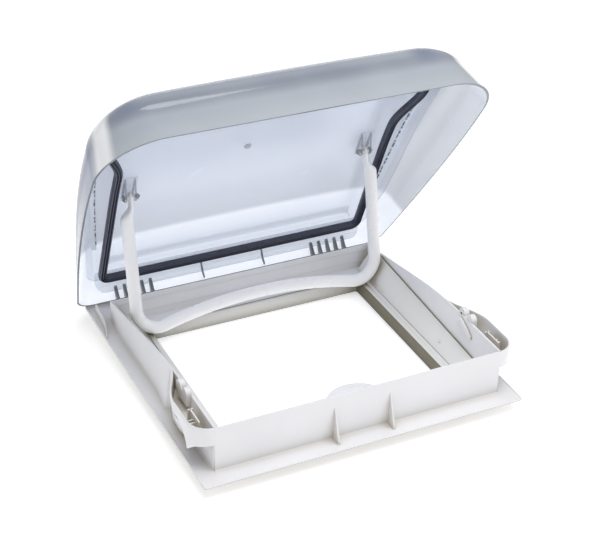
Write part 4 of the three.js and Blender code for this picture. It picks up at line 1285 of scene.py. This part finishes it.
def pivot_rings(rings, sides):
    """Rings about the bow's right pivot, each given as (radius, X)."""
    made = []
    for radius, x in rings:
        made.append([(x, BOW_PIVOT_Y + u, BOW_PIVOT_Z + v) for u, v in circle(radius, sides)])
    return made


def bolt_shape():
    """Bolt on the right, with a chamfered six-sided head and a thread."""
    axis = along_x(BOW_PIVOT_Y, BOW_PIVOT_Z)
    reach = EAR_OFFSET + EAR_THICK / 2 + GAP
    start, tip = BOW_BLADE_X + reach, BOW_BLADE_X - reach - 6
    head = Shape().rings(pivot_rings([(HEX_RADIUS, start), (HEX_RADIUS, start + 2.3), (3.7, start + 3)], 6))
    washer = turned([(5.2, start - 0.25), (5.2, start + 0.5), (2, start + 0.5)], axis)
    thread = [(1.85 if i % 2 else 2.2, tip + 0.4 + i * 0.5) for i in range(24)]
    shank = turned([(0, tip), (1.6, tip)] + thread + [(2.2, start), (0, start)], axis, 16)
    return head.join(washer, shank)


def nut_shape():
    """Chamfered six-sided nut."""
    x = BOW_BLADE_X - EAR_OFFSET - EAR_THICK / 2 - GAP
    rings = [
        (BOLT_BORE, x - 4), (HEX_CHAMFER, x - 4), (HEX_RADIUS, x - 3.4), (HEX_RADIUS, x - 0.6),
        (HEX_CHAMFER, x), (BOLT_BORE, x)]
    return Shape().rings(pivot_rings(rings, 6), closed=True)


def bush_shape():
    """Bush between the bracket's ears, round the bolt."""
    half = EAR_OFFSET - EAR_THICK / 2 - GAP
    x0, x1 = BOW_BLADE_X - half, BOW_BLADE_X + half
    rings = [(BOLT_BORE, x0), (3.6, x0), (4, x0 + 0.4), (4, x1 - 0.4), (3.6, x1), (BOLT_BORE, x1)]
    return Shape().rings(pivot_rings(rings, 24), closed=True)


def pivots():
    pair("bracket", bracket_shape(), [CLEAR_EAR, EAR_RIM], "lid", "bow_bracket", "clear_acrylic",
         bevel=0.5, smooth=35)
    pair("bolt", bolt_shape(), [STEEL], "lid", "pivot_bolt", "steel", smooth=25)
    pair("nut", nut_shape(), [STEEL], "lid", "pivot_nut", "steel", smooth=25)
    pair("bush", bush_shape(), [WHITE], "bow", "pivot_bush", "white_plastic", smooth=40)


def leaf_shape():
    """Clear leaf behind the seal: a ledge on the pane, a bend and a skirt with round lower corners."""
    rise = PANE_FLANGE + PANE_THICK + GAP
    start, bend = PANE_REAR_Y - 12.5, PANE_REAR_Y + 3

    def ring(half, y, z):
        """A strip across the leaf, thick downwards on the ledge and square to the skirt below it."""
        on_ledge = z > rim_height(bend) + rise + 1
        in_y, in_z = (0, LEAF_THICK) if on_ledge else (0.84 * LEAF_THICK, 0.54 * LEAF_THICK)
        xs = spread(-half, half, 30)
        return [(x, y, z) for x in xs] + [(x, y - in_y, z - in_z) for x in reversed(xs)]
    line = [
        (start, rim_height(start) + rise + 3), (bend - 2, rim_height(bend) + rise + 3.2),
        (bend + 1.5, rim_height(bend) + rise + 2.4), (bend + 3.4, rim_height(bend) + rise - 0.6)]
    rings = [ring(LEAF_HALF_WIDTH, y, z) for y, z in line]
    last_y, last_z = line[-1]
    slope = Vector((LEAF_END_Y - last_y, LEAF_END_Z + 1 - last_z))
    for share in (0.15, 0.3, 0.42, 0.54, 0.66, 0.76, 0.85, 0.92, 0.97, 1):
        down = max(share * slope.length - (slope.length - LEAF_CORNER), 0)
        half = LEAF_HALF_WIDTH - LEAF_CORNER + math.sqrt(max(LEAF_CORNER ** 2 - down ** 2, 0))
        rings.append(ring(half, last_y + slope.x * share, last_z + slope.y * share))
    return Shape().rings(rings)


def leaf_rib(x):
    """Upright rib on the clear leaf."""
    outline = [
        (PANE_REAR_Y + 4, 43), (PANE_REAR_Y + 8, 44), (LEAF_END_Y + 2, 29), (LEAF_END_Y + 3.4, 17),
        (LEAF_END_Y - 1, 17), (LEAF_END_Y - 4, 27)]
    return prism(outline, x - 0.8, x + 0.8, "X")


def finger_shape(x):
    """Hooked finger that reaches down from the leaf round the hinge rod."""
    outline = [
        (LEAF_END_Y - 6, LEAF_END_Z + 7), (LEAF_END_Y - 1.5, LEAF_END_Z + 6), (HINGE_Y + 3.4, HINGE_Z + 9)]
    outline += arc(HINGE_Y, HINGE_Z, KNUCKLE_RADIUS, 40, -190, 18)
    outline += [(HINGE_Y - KNUCKLE_RADIUS, HINGE_Z + 8)]
    return prism(outline, x - 2.5, x + 2.5, "X")


def hinge_leaf():
    """The leaf with three ridges across it, painted bright and glowing as highlights, its ribs and its
    fingers.
    """
    shape = leaf_shape()
    # Three ridges across the leaf in the painted highlight colour.
    for y, z in ((462.5, 47), (468, 38), (473, 30)):
        ridge = block(8 - LEAF_HALF_WIDTH, LEAF_HALF_WIDTH - 8, y, y + 1.2, z - 1, z)
        shape.join(ridge.paint(2))
    fingers = leaf_rib(LEAF_RIB_X)
    for i in range(FINGER_COUNT):
        fingers.join(finger_shape(FINGER_FIRST_X + i * FINGER_PITCH))
    shape.join(fingers.both_sides().paint(1))
    build("leaf", shape, [CLEAR, FINGER, LEAF_RIDGE_HIGHLIGHT], "lid", ["hinge_leaf"], "clear_acrylic", smooth=35)


def vent_plug():
    """Pressure plug in the pane, with a domed cap."""
    y = BOW_PIVOT_Y - 58
    top = rim_height(y) + PANE_RISE - 0.9
    profile = [
        (0, top - 3.6), (2.2, top - 3.5), (2.8, top - 3), (3, top - 2.4), (5.2, top - 2.2), (5.8, top - 1.6),
        (6, top - 0.6), (6, top), (0, top)]
    plug = turned(profile, along_z(PLUG_X, y), 28)
    build("plug", plug, [PLUG], "lid", ["vent_plug"], "clear_acrylic", smooth=40)


def bond_strips():
    """Bonding tape between the pane's flange and the dome, with the dark dashes of its old adhesive."""
    rise = PANE_FLANGE + PANE_THICK + 0.35

    def strip(start, end, inner, outer, low, high):
        rings = []
        for y in spread(start, end, 24):
            x0, x1 = pane_bend_x(y) - inner, pane_bend_x(y) - outer
            under, over = rim_height(y) + rise + low, rim_height(y) + rise + high
            rings.append(across(y, [
                (x0, under), (x1, under), (x1, over - 0.3), (x1 - 0.3, over), (x0 + 0.3, over),
                (x0, over - 0.3)]))
        return Shape().rings(rings)
    shape = strip(TAPE_FRONT, TAPE_REAR, 9, 1, 0, 2.4)
    start = TAPE_FRONT + 8
    for i in range(26):
        length = 2.5 + 3.5 * (1 + math.sin(i * 2.7))
        dash = strip(start, start + length, 9.4, 7.4 - 0.6 * math.cos(i * 1.9), -0.2, 1.6)
        shape.join(dash.paint(1))
        start += length + 2.5 + 2 * (1 + math.cos(i * 3.1))
        if start > TAPE_REAR - 15:
            break
    pair("tape", shape, [BAND, DASH], "lid", "bond_strip", "bond_tape", smooth=35)


# ---- stage ----


def pale_floor():
    mesh = bpy.data.meshes.new("floor")
    half = 12
    corners = [(-half, -half, 0), (half, -half, 0), (half, half, 0), (-half, half, 0)]
    mesh.from_pydata(corners, [], [[0, 1, 2, 3]])
    look = Look("floor")
    soft = look.range(look.noise(2, 2), 0.3, 0.7)
    look.set(Base_Color=look.mix(soft, (0.93, 0.93, 0.93), (0.96, 0.96, 0.96)), Roughness=0.9)
    look.set(Emission_Color=(1, 1, 1), Emission_Strength=0.42)
    mesh.materials.append(look.material)
    floor = bpy.data.objects.new("floor", mesh)
    bpy.context.scene.collection.objects.link(floor)


def area_light(name, place, aim, size, power, height=None):
    data = bpy.data.lights.new(name, "AREA")
    data.size = size
    if height:
        data.shape = "RECTANGLE"
        data.size_y = height
    data.energy = power
    lamp = bpy.data.objects.new(name, data)
    lamp.location = place
    lamp.rotation_euler = (Vector(aim) - Vector(place)).to_track_quat("-Z", "Y").to_euler()
    bpy.context.scene.collection.objects.link(lamp)


def lighting():
    world = bpy.data.worlds.new("studio")
    world.use_nodes = True
    world.node_tree.nodes["Background"].inputs["Color"].default_value = (1, 1, 1, 1)
    world.node_tree.nodes["Background"].inputs["Strength"].default_value = 0.44
    bpy.context.scene.world = world
    area_light("key", (1.4, -1.0, 1.0), (0.1, -0.1, 0.1), 1.0, 4)
    area_light("top", (0.2, -0.5, 2.8), (0, -0.1, 0.1), 2.2, 50)
    area_light("strip", (-2.2, -0.2, 1.9), (-0.2, 0, 0.4), 0.3, 1.5, 1.6)


def camera():
    data = bpy.data.cameras.new("camera")
    data.sensor_width = 36
    data.lens = CAMERA_LENS
    data.clip_end = 100
    eye = bpy.data.objects.new("camera", data)
    right = Vector(CAMERA_RIGHT).normalized()
    forward = Vector(CAMERA_FORWARD).normalized()
    up = right.cross(forward)
    turn = Matrix((right, up, -forward)).transposed().to_4x4()
    eye.matrix_world = Matrix.Translation(DATUM + Vector(CAMERA_PLACE) * MM) @ turn
    bpy.context.scene.collection.objects.link(eye)
    bpy.context.scene.camera = eye


roof_frame()
neck_collar()
rails()
catches()
shelf()
outer_dome()
inner_pane()
lid_seal()
hinge_leaf()
bond_strips()
vent_plug()
bow_tube()
pivots()

CAD_LOOKS = {"hinge_rod": STEEL, "rail_screw": STEEL, "latch_spring": STEEL}
for name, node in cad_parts.items():
    for start, material in CAD_LOOKS.items():
        if name.startswith(start):
            for holder in node.material_slots:
                holder.material = material

pale_floor()
lighting()
camera()

bpy.context.scene.view_settings.view_transform = "Standard"
